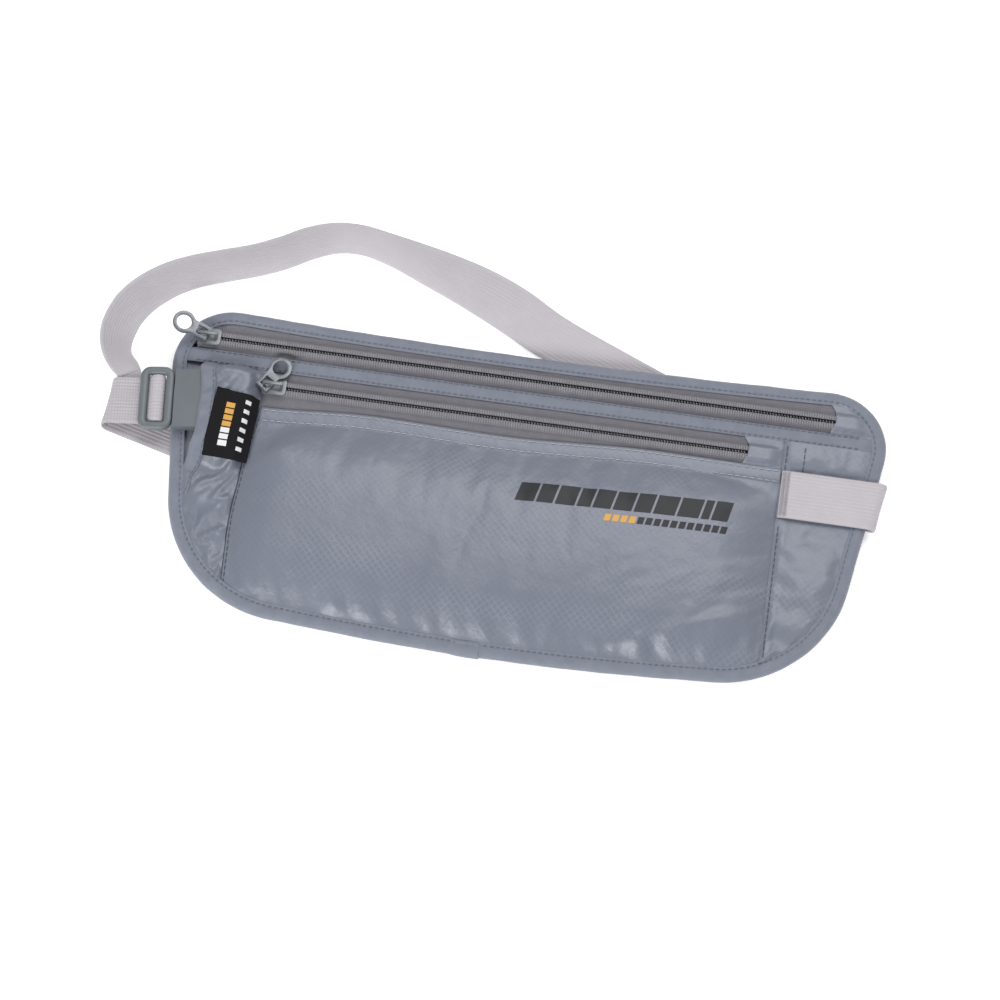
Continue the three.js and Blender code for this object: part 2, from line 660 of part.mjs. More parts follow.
function add(name, geometry, look, parent = pouch) {
  const mesh = new THREE.Mesh(geometry, look);
  mesh.name = name;
  parent.add(mesh);
  return mesh;
}

add('back_panel', makeBackPanel(), material('mesh', 0.95));
add('edge_binding', makeEdgeBinding(), material('binding'));
add('divider_panel', makeDivider(), material('ripstop'));
add('rfid_lining_rear', makeLining(-90, 88, 21, 12, REAR_LINING_Z), material('lining', 0.4));
add('rfid_lining_front', makeLining(-90, 88, 21, 12, FRONT_LINING_Z), material('lining', 0.4));
add('front_panel', makeFrontPanel(), material('ripstop', 0.6));
add('left_wing_panel', makeLeftWing(), material('ripstop', 0.6));
add('left_wing_binding', makeWingBinding(), material('binding'));
add('right_wing_panel', makeRightWing(), material('ripstop', 0.6));
add('middle_band', makeBand(), material('binding'));

add('upper_zip_tape_upper', makeUpperTape(), material('tape'));
const upperTapeLower = makeFlatTape(-137, 137, BAND.low + 3.4, UPPER_ZIP.y - ZIP_SLOT / 2);
add('upper_zip_tape_lower', upperTapeLower, material('tape'));
const tapeLeft = LEFT_SEAM_X + 0.2;
const tapeRight = RIGHT_SEAM_X - 0.2;
const lowerTapeUpper = makeFlatTape(tapeLeft, tapeRight, LOWER_ZIP.y + ZIP_SLOT / 2, BAND.low + 3);
add('lower_zip_tape_upper', lowerTapeUpper, material('tape'));
const lowerTapeLower = makeFlatTape(tapeLeft, tapeRight, FRONT_TOP_Y + GAP, LOWER_ZIP.y - ZIP_SLOT / 2);
add('lower_zip_tape_lower', lowerTapeLower, material('tape'));
for (const [zipName, zip] of [['upper', UPPER_ZIP], ['lower', LOWER_ZIP]]) {
  add(`${zipName}_zip_coil_upper`, makeCoil(zip, 1), material('coil', 0.5));
  add(`${zipName}_zip_coil_lower`, makeCoil(zip, -1), material('coil', 0.5));
  const slider = add(`${zipName}_zip_slider`, makeSlider(), material('slider', 0.4, 0.6));
  slider.position.set(zip.slider, zip.y, 0);
}
add('upper_zip_end_cover', makeUpperCover(), material('ripstop', 0.6));
add('lower_zip_end_cover', box(LOWER_ZIP.right + 1, RIGHT_SEAM_X - 0.2, FRONT_TOP_Y + 0.8, BAND.low - GAP,
  OVER_LOW, OVER_LOW + CLOTH_THICK), material('ripstop', 0.6));

const upperPull = add('upper_zip_pull', makePull(), material('slider', 0.4, 0.6));
upperPull.position.set(UPPER_ZIP.slider, UPPER_ZIP.y, 9.6);
upperPull.rotation.set(0, -UPPER_PULL_LIFT, Math.PI + UPPER_PULL_YAW, 'ZYX');
const lowerPull = add('lower_zip_pull', makePull().translate(-1.6, 0, 0), material('slider', 0.4, 0.6));
lowerPull.position.set(LOWER_ZIP.slider - SLIDER.legX, LOWER_ZIP.y, SLIDER.topHigh + GAP + PULL.thick / 2);
lowerPull.rotation.z = LOWER_PULL_YAW;

const buckle = new THREE.Group();
buckle.applyMatrix4(buckleFrame);
pouch.add(buckle);
add('buckle_female', makeFemale(), material('plastic', 0.45), buckle);
add('buckle_male', makeMale(), material('plastic', 0.45), buckle);
add('latch_arm_upper', makeArm(1), material('plastic', 0.45), buckle);
add('latch_arm_lower', makeArm(-1), material('plastic', 0.45), buckle);
add('buckle_anchor', makeAnchor(), material('elastic'), buckle);

add('waist_strap', makeWaistStrap(), material('elastic', 0.9));
add('strap_buckle_end', makeBuckleEnd(), material('elastic', 0.9));
add('strap_tail', makeTail(), material('elastic', 0.9));
add('strap_bartack', box(RIGHT_SEAM_X + 1, RIGHT_SEAM_X + 3.4, 10, 28, 8, 8.3), material('thread'));
add('label', box(-125.6, LEFT_SEAM_X - 0.8, 1, 30.3, 12.1, 12.5), material('label', 0.7));

export default group;
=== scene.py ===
"""A travel money belt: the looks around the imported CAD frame.

Sizes are millimetres about the middle of the pouch, +X away from the buckle, +Y towards the zips,
+Z out of the front, and mm() turns them into the row's metres.
"""
import math

import bmesh
import bpy
import numpy as np
from mathutils import Matrix, Vector, noise
from mathutils.bvhtree import BVHTree


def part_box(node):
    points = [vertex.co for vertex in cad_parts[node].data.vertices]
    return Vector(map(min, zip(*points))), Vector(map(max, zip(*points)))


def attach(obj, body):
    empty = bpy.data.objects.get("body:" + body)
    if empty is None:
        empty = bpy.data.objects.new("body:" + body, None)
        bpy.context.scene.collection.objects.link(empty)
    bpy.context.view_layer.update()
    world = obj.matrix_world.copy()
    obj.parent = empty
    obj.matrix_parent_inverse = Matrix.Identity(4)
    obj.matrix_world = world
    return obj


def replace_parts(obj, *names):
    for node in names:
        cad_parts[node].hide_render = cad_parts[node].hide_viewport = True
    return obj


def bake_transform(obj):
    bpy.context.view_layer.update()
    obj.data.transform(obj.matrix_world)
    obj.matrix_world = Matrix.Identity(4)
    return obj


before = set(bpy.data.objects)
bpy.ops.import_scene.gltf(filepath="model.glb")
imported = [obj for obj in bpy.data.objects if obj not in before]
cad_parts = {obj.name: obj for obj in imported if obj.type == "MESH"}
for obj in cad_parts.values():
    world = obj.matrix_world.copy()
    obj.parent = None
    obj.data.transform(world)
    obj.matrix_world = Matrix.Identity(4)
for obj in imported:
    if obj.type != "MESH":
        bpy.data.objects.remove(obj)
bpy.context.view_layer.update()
scene = bpy.context.scene

# ---- The pouch's frame and its outline ----
TOP_Y, TOP_DIP = 66.5, 2.4
TOP_X, CORNER_Y, TOP_R = 122.0, 42.5, 24.0
BOTTOM_X, BOTTOM_Y, BOTTOM_R, BOTTOM_BOW = 84.5, -9.0, 53.0, 3.4
RIGHT_SEAM = 105.0
BAND_LOW = 41.8
UPPER_ZIP, LOWER_ZIP = 52.8, 34.8
BUCKLE_X, BUCKLE_Y, BUCKLE_TURN = -143.2, 22.8, math.radians(6.5)
HALF = 10.0
THICK = 1.3

low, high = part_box("edge_binding")
MIDDLE = Vector(((low[0] + high[0]) / 2, high[1] - TOP_Y * 0.001, 0.0))


def mm(point):
    return MIDDLE + Vector((float(point[0]), float(point[1]), float(point[2]))) * 0.001


def smooth(value):
    t = min(max(value, 0.0), 1.0)
    return t * t * (3 - 2 * t)


def lerp(a, b, t):
    return a + (b - a) * t


def through(points, x):
    """A soft line through a few (x, y) points."""
    if x <= points[0][0]:
        return points[0][1]
    for (x0, y0), (x1, y1) in zip(points, points[1:]):
        if x <= x1:
            return lerp(y0, y1, smooth((x - x0) / (x1 - x0)))
    return points[-1][1]


def wobble(x, y, scale, seed=0.0):
    """Smooth noise between about -1 and 1."""
    return noise.noise(Vector((x / scale, y / scale, seed)))


SIDE_ANGLE = math.atan2(CORNER_Y - BOTTOM_Y, TOP_X - BOTTOM_X) - math.acos(
    (BOTTOM_R - TOP_R) / math.hypot(TOP_X - BOTTOM_X, CORNER_Y - BOTTOM_Y))


def top_edge(x, inset):
    reach = x / TOP_X
    if abs(reach) < 1:
        return TOP_Y - inset - TOP_DIP * (1 - reach * reach)
    r = TOP_R - inset
    return CORNER_Y + math.sqrt(max(r * r - (abs(x) - TOP_X) ** 2, 0))


def bottom_edge(x, inset):
    reach = x / BOTTOM_X
    if abs(reach) < 1:
        return BOTTOM_Y - BOTTOM_R + inset - BOTTOM_BOW * (1 - reach * reach)
    r = BOTTOM_R - inset
    return BOTTOM_Y - math.sqrt(max(r * r - (abs(x) - BOTTOM_X) ** 2, 0))


def side_edge(y, inset):
    """Half the pouch's width at a height y."""
    top, bottom = TOP_R - inset, BOTTOM_R - inset
    top_y = CORNER_Y + top * math.sin(SIDE_ANGLE)
    if y > top_y:
        return TOP_X + math.sqrt(max(top * top - (y - CORNER_Y) ** 2, 0))
    if y < BOTTOM_Y + bottom * math.sin(SIDE_ANGLE):
        return BOTTOM_X + math.sqrt(max(bottom * bottom - (y - BOTTOM_Y) ** 2, 0))
    return TOP_X + top * math.cos(SIDE_ANGLE) - (y - top_y) * math.tan(SIDE_ANGLE)


def resample(points, step, closed=False):
    """Points at even steps along a line."""
    points = np.array(points, dtype=float)
    if closed:
        points = np.vstack([points, points[:1]])
    along = np.concatenate([[0], np.cumsum(np.linalg.norm(np.diff(points, axis=0), axis=1))])
    count = max(int(round(along[-1] / step)), 2)
    at = np.linspace(0, along[-1], count + 1)
    if closed:
        at = at[:-1]
    return np.stack([np.interp(at, along, points[:, k]) for k in range(points.shape[1])], axis=1)


def outline(step):
    """Even points round the pouch, anticlockwise from the bottom middle, with inward normals."""
    half = [(BOTTOM_X * i / 30, bottom_edge(BOTTOM_X * i / 30, 0)) for i in range(30)]
    for cx, cy, r, start, end in ((BOTTOM_X, BOTTOM_Y, BOTTOM_R, -math.pi / 2, SIDE_ANGLE),
                                  (TOP_X, CORNER_Y, TOP_R, SIDE_ANGLE, math.pi / 2)):
        for i in range(41):
            angle = lerp(start, end, i / 40)
            half.append((cx + r * math.cos(angle), cy + r * math.sin(angle)))
    half += [(TOP_X * (1 - i / 30), top_edge(TOP_X * (1 - i / 30), 0)) for i in range(1, 30)]
    whole = half + [(0, top_edge(0, 0))] + [(-x, y) for x, y in reversed(half[1:])]
    points = resample(whole, step, closed=True)
    along = np.roll(points, -1, axis=0) - np.roll(points, 1, axis=0)
    along /= np.linalg.norm(along, axis=1)[:, None]
    return points, np.stack([-along[:, 1], along[:, 0]], axis=1)


# ---- Materials ----
class Look:
    """A principled material, with a few helpers for its patterns."""

    def __init__(self, name, colour, roughness, **sockets):
        self.material = bpy.data.materials.new(name)
        self.material.use_nodes = True
        self.tree = self.material.node_tree
        self.shader = self.tree.nodes["Principled BSDF"]
        self.colour = (*colour, 1.0)
        self.shader.inputs["Base Color"].default_value = self.colour
        self.shader.inputs["Roughness"].default_value = roughness
        for socket, value in sockets.items():
            self.shader.inputs[socket.replace("_", " ")].default_value = value
        self.heights = []

    def node(self, kind, values=None, **settings):
        made = self.tree.nodes.new("ShaderNode" + kind)
        for name, value in settings.items():
            setattr(made, name, value)
        for key, value in (values or {}).items():
            if isinstance(value, bpy.types.NodeSocket):
                self.tree.links.new(value, made.inputs[key])
            else:
                made.inputs[key].default_value = value
        return made

    def math(self, operation, a, b=0.0):
        return self.node("Math", {0: a, 1: b}, operation=operation).outputs[0]

    def place(self, pitch, turn=0.0, source="Object", squeeze=(1, 1, 1)):
        """Coordinates in steps of a pitch in millimetres."""
        origin = self.node("TexCoord").outputs[source]
        scale = [s * (1000 / pitch) for s in squeeze]
        rotation = (0, 0, math.radians(turn))
        return self.node("Mapping", {"Vector": origin, "Scale": scale, "Rotation": rotation}).outputs[0]

    def axes(self, place):
        return self.node("SeparateXYZ", {0: place}).outputs

    def ridge(self, value, width, soft=0.12):
        """1 on a line at every whole number, with a given width as a share of the pitch."""
        return self.fade(self.math("PINGPONG", value, 0.5), width / 2 + soft, width / 2)

    def fade(self, value, start, end, low=0.0, high=1.0):
        """From low to high as the value goes from start to end."""
        limits = {"Value": value, "From Min": start, "From Max": end, "To Min": low, "To Max": high}
        return self.node("MapRange", limits).outputs[0]

    def wave(self, value):
        return self.math("SINE", self.math("MULTIPLY", value, 2 * math.pi))

    def weave(self, place):
        run = self.axes(place)
        return self.math("MULTIPLY", self.wave(run[0]), self.wave(run[1]))

    def noise(self, place, detail=3.0, roughness=0.55):
        values = {"Vector": place, "Scale": 1.0, "Detail": detail, "Roughness": roughness}
        return self.node("TexNoise", values).outputs[0]

    def tint(self, factor, colour):
        """Mix a colour over what the base colour has so far."""
        made = self.node("Mix", {0: factor, 7: (*colour, 1.0)}, data_type="RGBA")
        socket = self.shader.inputs["Base Color"]
        if socket.is_linked:
            self.tree.links.new(socket.links[0].from_socket, made.inputs[6])
        else:
            made.inputs[6].default_value = self.colour
        self.tree.links.new(made.outputs[2], socket)

    def raise_by(self, value, height):
        """Add a pattern to the bump, with its height in millimetres."""
        self.heights.append(self.math("MULTIPLY", value, height))

    def mottle(self, pitch, detail, amount, colour, turn=0.0):
        """Soft blotches of another colour."""
        self.tint(self.fade(self.noise(self.place(pitch, turn), detail), 0.3, 0.7, 0.0, amount), colour)

    def grain(self, pitch, height, detail, roughness=0.55, turn=0.0):
        """Soft unevenness in the bump."""
        self.raise_by(self.noise(self.place(pitch, turn), detail, roughness), height)

    def done(self):
        if self.heights:
            total = self.heights[0]
            for more in self.heights[1:]:
                total = self.math("ADD", total, more)
            bump = self.node("Bump", {"Height": total, "Strength": 1.0, "Distance": 0.001})
            self.tree.links.new(bump.outputs[0], self.shader.inputs["Normal"])
        return self.material


def shade(red, green, blue):
    """Screen colour, 0 to 255, as the linear colour that a material takes."""
    return tuple(((c / 255 + 0.055) / 1.055) ** 2.4 for c in (red, green, blue))


def ripstop_look():
    """Thin shiny ripstop, its reinforcing squares showing only where the light rakes them, as a painted
    glint: the grid lines tinted lighter in patches.
    """
    look = Look("ripstop", shade(117, 122, 136), 0.4, Sheen_Weight=0.15, Specular_IOR_Level=0.6)
    grid = look.axes(look.place(2.1, 47))
    lines = look.math("MAXIMUM", look.ridge(grid[0], 0.1, 0.09), look.ridge(grid[1], 0.1, 0.09))
    band = look.noise(look.place(60, 40, squeeze=(1, 3, 1)), 2.0)
    glint_patches = look.fade(band, 0.5, 0.64)
    # Painted glint: the grid lines are lightened only inside the patches.
    glinting_lines = look.math("MULTIPLY", lines, look.math("ADD", look.math("MULTIPLY", glint_patches, 0.8), 0.2))
    look.tint(look.math("MULTIPLY", glinting_lines, 0.2), shade(164, 169, 182))
    look.mottle(34, 4.0, 0.16, shade(90, 94, 106), turn=20)
    look.raise_by(glinting_lines, 0.035)
    look.grain(9, 0.5, 5.0, 0.6, turn=30)
    look.grain(3.2, 0.12, 3.0, 0.5, turn=30)
    return look.done()


def binding_look():
    """Plain woven tape with fine ribs across it."""
    look = Look("binding_tape", shade(114, 119, 133), 0.55, Sheen_Weight=0.2)
    light = shade(138, 143, 157)
    look.raise_by(look.weave(look.place(0.55)), 0.045)
    look.mottle(5, 5.0, 0.4, light)
    look.mottle(0.35, 2.0, 0.25, light)
    look.grain(1.6, 0.12, 4.0)
    return look.done()


def zip_tape_look():
    """Zip tape: plain weave outside, upright ribs where it folds over the coil, with a painted highlight on
    the rib tops and painted shade in the valleys between them.
    """
    look = Look("zip_tape", shade(122, 120, 128), 0.85, Sheen_Weight=0.3)
    run = look.axes(look.place(1.0, source="UV"))
    ribs = look.ridge(look.math("DIVIDE", run[0], RIB_PITCH), 0.4, 0.14)
    fold = look.fade(run[1], 3.1, 2.7)
    valley_shade = look.math("SUBTRACT", 1.0, ribs)
    # Painted shade between the ribs and a painted highlight on their tops, in step with the ribs in the
    # tape's shape.
    look.tint(look.math("MULTIPLY", look.math("MULTIPLY", valley_shade, fold), 0.42), shade(86, 85, 93))
    look.tint(look.math("MULTIPLY", look.math("MULTIPLY", ribs, fold), 0.62), shade(182, 180, 188))
    look.raise_by(look.weave(look.place(0.7)), 0.14)
    look.mottle(0.6, 3.0, 0.5, shade(150, 148, 156))
    look.mottle(4, 5.0, 0.3, shade(98, 97, 105))
    return look.done()


def elastic_look(name, grid):
    """Knitted elastic; grid is how plainly its little squares show."""
    look = Look(name, shade(196, 192, 198), 0.82, Sheen_Weight=0.3)
    run = look.axes(look.place(1.0, source="UV"))
    across = look.ridge(look.math("MULTIPLY", run[0], 0.9), 0.2, 0.2)
    along = look.ridge(look.math("MULTIPLY", run[1], 0.75), 0.2, 0.2)
    start = look.fade(run[0], 20.0, 40.0, min(grid, 0.12), grid)
    look.tint(look.math("MULTIPLY", look.math("MAXIMUM", across, along), start), shade(138, 132, 138))
    cords = look.ridge(look.math("MULTIPLY", run[1], 1.3), 0.3, 0.3)
    look.tint(look.math("MULTIPLY", cords, 0.22), shade(160, 154, 160))
    look.raise_by(look.math("MULTIPLY", look.wave(look.math("MULTIPLY", run[1], 2.2)),
                            look.wave(look.math("MULTIPLY", run[0], 2.6))), 0.03)
    look.mottle(12, 4.0, 0.16, shade(214, 211, 216))
    return look.done()


def plastic_look():
    look = Look("buckle_plastic", shade(103, 109, 114), 0.42)
    look.grain(0.4, 0.02, 4.0)
    look.mottle(7, 4.0, 0.22, shade(127, 133, 138))
    return look.done()


def metal_look():
    look = Look("painted_slider", shade(104, 109, 114), 0.33, Metallic=0.25, Coat_Weight=0.25)
    look.mottle(1.4, 5.0, 0.28, shade(142, 147, 152))
    look.grain(0.5, 0.02, 4.0)
    return look.done()


def coil_look(name, nose_shading):
    """Nylon coil, its body coloured near black: the coil's own dark grey deepened into painted shade for the
    narrow gap it lies in; nose_shading is the colour painted where its turns lock at the zip's line, a
    painted highlight on one copy and painted shade on the other.
    """
    look = Look(name, shade(38, 38, 43), 0.35)
    turn = look.axes(look.node("TexCoord").outputs["UV"])[0]
    look.tint(look.ridge(turn, 0.22, 0.08), nose_shading)
    return look.done()


def mesh_look():
    """Padded spacer mesh, with its rows of round holes, painted dark as the shade inside them."""
    look = Look("spacer_mesh", shade(98, 102, 110), 0.9, Sheen_Weight=0.35)
    place = look.place(2.1, squeeze=(1, 1, 0))
    cells = look.node("TexVoronoi", {"Vector": place, "Scale": 1.0, "Randomness": 0.12}).outputs[0]
    shaded_hole = look.fade(cells, 0.34, 0.2)
    # Painted shade inside the holes.
    look.tint(shaded_hole, shade(44, 46, 50))
    look.raise_by(shaded_hole, -0.4)
    look.grain(0.5, 0.08, 3.0)
    return look.done()


def label_look():
    look = Look("label_cloth", shade(20, 20, 22), 0.75, Specular_IOR_Level=0.2)
    twill = look.axes(look.place(0.45, 30))
    look.raise_by(look.wave(twill[0]), 0.03)
    look.mottle(0.9, 4.0, 0.3, shade(34, 34, 37))
    return look.done()


def plain_look(name, colour, roughness, light, grain=0.6):
    look = Look(name, colour, roughness)
    look.mottle(grain, 4.0, 0.4, light)
    look.grain(grain / 2, 0.015, 3.0)
    return look.done()


RIB_PITCH, COIL_PITCH = 1.0, 1.2
RIPSTOP = ripstop_look()
BINDING = binding_look()
TAPE = zip_tape_look()
ELASTIC = elastic_look("elastic", 0.12)
ELASTIC_END = elastic_look("elastic_end", 0.4)
PLASTIC = plastic_look()
METAL = metal_look()
# One nylon coil in two copies: light noses as a painted highlight on the upper coil, dark noses as painted
# shade on the lower coil.
LIT_COIL = coil_look("coil", shade(226, 226, 230))
SHADED_COIL = coil_look("shaded_coil", shade(52, 52, 58))
SPACER = mesh_look()
LABEL = label_look()
PALE_THREAD = plain_look("pale_thread", shade(170, 173, 182), 0.6, shade(196, 198, 204))
GREY_THREAD = plain_look("grey_thread", shade(74, 78, 88), 0.6, shade(100, 104, 114))
BINDING_THREAD = plain_look("binding_thread", shade(98, 103, 117), 0.6, shade(140, 145, 158))
BUFF_THREAD = plain_look("buff_thread", shade(168, 163, 169), 0.7, shade(200, 196, 201))
INK = plain_look("dark_print", shade(25, 27, 32), 0.55, shade(36, 38, 44))
WHITE_INK = plain_look("white_print", shade(224, 224, 226), 0.5, shade(240, 240, 242))
YELLOW_INK = plain_look("yellow_print", shade(206, 150, 44), 0.4, shade(216, 166, 70))
LINING = plain_look("shielding_cloth", shade(168, 170, 176), 0.35, shade(196, 198, 203), 2.0)


# ---- Building pieces ----
def piece(name, points, faces, look, slot, body="pouch", uv=None):
    """A smooth mesh piece in the row's frame, from points in millimetres."""
    mesh = bpy.data.meshes.new(name)
    mesh.from_pydata([mm(p) for p in points], [], faces)
    mesh.update()
    mesh.polygons.foreach_set("use_smooth", [len(face) < 7 for face in faces])
    mesh.materials.append(look)
    if uv is not None:
        layer = mesh.uv_layers.new(name="UVMap")
        corners = [uv[loop.vertex_index] for loop in mesh.loops]
        layer.data.foreach_set("uv", [value for corner in corners for value in corner])
    made = bpy.data.objects.new(name, mesh)
    scene.collection.objects.link(made)
    if body:
        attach(made, body)
    return made


def refine(made):
    modifier = made.modifiers.new("refine", "SUBSURF")
    modifier.levels = 1
    modifier.render_levels = 1
    return made


def join_parts(parts):
    """One list of points and faces from several."""
    points, faces = [], []
    for more_points, more_faces in parts:
        base = len(points)
        points += [tuple(p) for p in more_points]
        faces += [tuple(base + i for i in face) for face in more_faces]
    return points, faces


def sweep(sections, closed=False):
    """A skin through closed sections, capped at the ends unless it closes on itself."""
    around = len(sections[0])
    count = len(sections)
    points = [tuple(p) for section in sections for p in section]
    faces = []
    for k in range(count if closed else count - 1):
        a, b = k * around, ((k + 1) % count) * around
        for i in range(around):
            j = (i + 1) % around
            faces.append((a + i, a + j, b + j, b + i))
    if not closed:
        faces.append(tuple(reversed(range(around))))
        faces.append(tuple((count - 1) * around + i for i in range(around)))
    return points, faces


def tube(path, radius, sides=5):
    """A round tube along a path of points."""
    path = np.array(path, dtype=float)
    along = np.gradient(path, axis=0)
    along /= np.linalg.norm(along, axis=1)[:, None] + 1e-9
    sections = []
    normal = np.cross(along[0], (0.3, 0.2, 1.0))
    for at, way in zip(path, along):
        normal = normal - way * np.dot(normal, way)
        normal /= np.linalg.norm(normal) + 1e-9
        side = np.cross(way, normal)
        ring = []
        for k in range(sides):
            angle = 2 * math.pi * k / sides
            ring.append(at + radius * (math.cos(angle) * normal + math.sin(angle) * side))
        sections.append(ring)
    return sweep(sections)


def grid_of(rows, columns, place):
    """Rows of points, with place(u, v) giving the one at u along the columns and v along the rows."""
    return np.array([[place(i / (columns - 1), j / (rows - 1)) for i in range(columns)] for j in range(rows)])


def grid_faces(rows, columns):
    corners = [j * columns + i for j in range(rows - 1) for i in range(columns - 1)]
    return [(a, a + 1, a + columns + 1, a + columns) for a in corners]


def shell(grid, thickness):
    """A closed sheet under a grid of top points, rows by columns."""
    rows, columns, _ = grid.shape
    du = np.gradient(grid, axis=1)
    dv = np.gradient(grid, axis=0)
    normal = np.cross(du, dv)
    normal /= np.linalg.norm(normal, axis=2)[:, :, None] + 1e-9
    under = grid - normal * thickness
    points = np.vstack([grid.reshape(-1, 3), under.reshape(-1, 3)])
    layer = rows * columns
    top = grid_faces(rows, columns)
    faces = top + [(layer + a, layer + d, layer + c, layer + b) for a, b, c, d in top]
    rim = list(range(columns)) + list(range(2 * columns - 1, layer, columns))
    rim += list(range(layer - 2, layer - columns - 1, -1)) + list(range(layer - 2 * columns, 0, -columns))
    faces += [(layer + a, layer + b, b, a) for a, b in zip(rim, rim[1:] + rim[:1])]
    return points, faces


def trees_of(*grids):
    """Top surfaces to lay things on, in millimetres."""
    return [BVHTree.FromPolygons([Vector(p) for p in grid.reshape(-1, 3)], grid_faces(*grid.shape[:2]))
            for grid in grids]


def top_of(trees, x, y, fallback):
    """Height of the highest surface at a point."""
    best = None
    for tree in trees:
        hit = tree.ray_cast(Vector((x, y, 60)), Vector((0, 0, -1)))[0]
        if hit is not None and (best is None or hit.z > best):
            best = hit.z
    return fallback if best is None else best


def laid(trees, route, lift):
    return [(x, y, top_of(trees, x, y, 6.0) + lift) for x, y in route]


def stitch_row(route, length=2.0, gap=0.75, radius=0.22, sink=0.18):
    """Separate stitches along a route, each a short thread that dips in at both ends."""
    path = resample(route, 0.1)
    step = max(int(round((length + gap) / 0.1)), 2)
    span = int(round(length / 0.1))
    parts = []
    for start in range(0, len(path) - span, step):
        run = path[start:start + span + 1]
        rows = []
        for share, lift in ((0.0, -sink), (0.14, 0.55 * radius), (0.5, radius), (0.86, 0.55 * radius),
                            (1.0, -sink)):
            at = run[int(round(share * span))].copy()
            at[2] += lift
            rows.append(at)
        parts.append(tube(rows, radius))
    return parts


def stitches(name, routes, look, **sizes):
    parts = [part for route in routes for part in stitch_row(route, **sizes)]
    piece(name, *join_parts(parts), look, "thread")


def pins_of(grid, held):
    """Which points of a sheet stay put: its edges, and those where held(x, y) is true."""
    pinned = np.ones(grid.shape[:2], dtype=bool)
    pinned[1:-1, 1:-1] = [[held(x, y) for x, y, _ in row[1:-1]] for row in grid[1:-1]]
    return pinned


def settle(grid, pinned, pressure, growth, bend=0.4):
    """Let a pinned sheet find its own folds under a soft pressure from below."""
    scale = 0.01
    mesh = bpy.data.meshes.new("settling")
    mesh.from_pydata([Vector(p) * scale for p in grid.reshape(-1, 3)], [], grid_faces(*grid.shape[:2]))
    mesh.update()
    cloth = bpy.data.objects.new("settling", mesh)
    scene.collection.objects.link(cloth)
    pins = cloth.vertex_groups.new(name="pins")
    pins.add([int(i) for i in np.flatnonzero(pinned.reshape(-1))], 1.0, "REPLACE")
    modifier = cloth.modifiers.new("cloth", "CLOTH")
    settings = modifier.settings
    settings.quality = 8
    settings.mass = 0.15
    for kind, stiffness in (("tension", 25), ("compression", 25), ("shear", 12)):
        setattr(settings, kind + "_stiffness", stiffness)
        setattr(settings, kind + "_damping", 12)
    settings.bending_stiffness = bend
    settings.shrink_min = -growth
    settings.use_pressure = True
    settings.uniform_pressure_force = pressure
    settings.vertex_group_mass = "pins"
    settings.effector_weights.gravity = 0
    modifier.collision_settings.use_collision = False
    frames = 22
    modifier.point_cache.frame_start = 1
    modifier.point_cache.frame_end = frames
    for step in range(1, frames + 1):
        scene.frame_set(step)
    settled = cloth.evaluated_get(bpy.context.evaluated_depsgraph_get()).to_mesh()
    result = np.array([tuple(v.co) for v in settled.vertices]) / scale
    bpy.data.objects.remove(cloth)
    scene.frame_set(1)
    return result.reshape(grid.shape)


# ---- Pouch fabrics ----
LEFT_LINE = [(-54, -109.5), (-22, -111), (0, -110), (28, -107), (42, -106)]
FRONT_LINE = [(-108, 25.6), (-60, 28.2), (-9, 27.3), (55, 30.0), (105, 29.6)]
MOUTH_LINE = [(-54, -139), (-34, -138.2), (-20, -136.9), (-10, -134.8), (2, -131.8), (11, -130.3),
              (25, -130.9), (42, -133.3)]


def left_seam(y):
    return through(LEFT_LINE, y)


def front_top(x):
    return through(FRONT_LINE, x)


def wing_mouth(y):
    return max(through(MOUTH_LINE, y), -side_edge(y, 5.0))


def belly(value):
    """From 0 to 1, steep at first and then level."""
    return 1 - (1 - min(max(value, 0.0), 1.0)) ** 2.4


def gathers(x, y):
    """Puckers that fan out of the bottom binding, and long pulls towards the lower right."""
    up = y - bottom_edge(x, 6.2)
    fan = x + 0.35 * up
    low = smooth(up / 2) * (1 - smooth((up - 2) / 20)) * (0.45 + 1.3 * abs(wobble(x, 0, 24, 5.1)))
    made = low * (1.5 * wobble(fan, up * 0.2, 7.5, 9.3) + 0.8 * wobble(fan, up * 0.35, 3.8, 1.1))
    along, across = 0.92 * x + 0.39 * y, 0.92 * y - 0.39 * x
    right = smooth((x - 15) / 40) * smooth((102 - x) / 8) * smooth((-4 - y) / 18) * smooth(up / 5)
    return made + 1.5 * right * wobble(across, along * 0.18, 5.5, 3.3)


def front_height(x, y):
    ramp = 15.0
    side = smooth((x - left_seam(y) - 1) / ramp) * belly((RIGHT_SEAM - 1 - x) / 24)
    ends = belly((y - bottom_edge(x, 5.8)) / 24) * smooth((front_top(x) - 6 - y) / ramp)
    ripple = 0.3 * wobble(x, y, 13, 1.7) + 0.15 * wobble(x, y, 6, 4.2)
    hem = 0.5 * smooth((y - front_top(x) + 8) / 3)
    return 5.5 + hem + (5.6 + ripple) * side * ends + max(gathers(x, y), -2.5 * ends)


def make_front():
    right = RIGHT_SEAM + 0.3

    def place(u, v):
        x = lerp(-108.0, right, u)
        y = lerp(bottom_edge(x, 4.8), front_top(x), v)
        x = lerp(left_seam(y), right, u)
        return x, y, front_height(x, y)

    grid = grid_of(50, 116, place)
    pinned = pins_of(grid, lambda x, y: y > front_top(x) - 5.5)
    pinned[1] = True
    settled = settle(grid, pinned, 0.5, 0.006)
    for point in settled.reshape(-1, 3):
        x, y, z = point
        over_lining = smooth((y - bottom_edge(x, 19)) / 3) * smooth((14 - y) / 2) * smooth((x + 93) / 3)
        height = max(z, 5.5 + 4.2 * over_lining * smooth((91 - x) / 3))
        point[2] = height - 0.45 * max(height - 12.5, 0)
    return settled


def wing_height(x, y):
    from_seam = smooth((left_seam(y) - 0.6 - x) / 4.2)
    from_bottom = smooth((y + 6) / 15)
    from_top = smooth((BAND_LOW - 0.2 - y) / 3.2)
    return 5.5 + 6.4 * from_seam * from_bottom * from_top


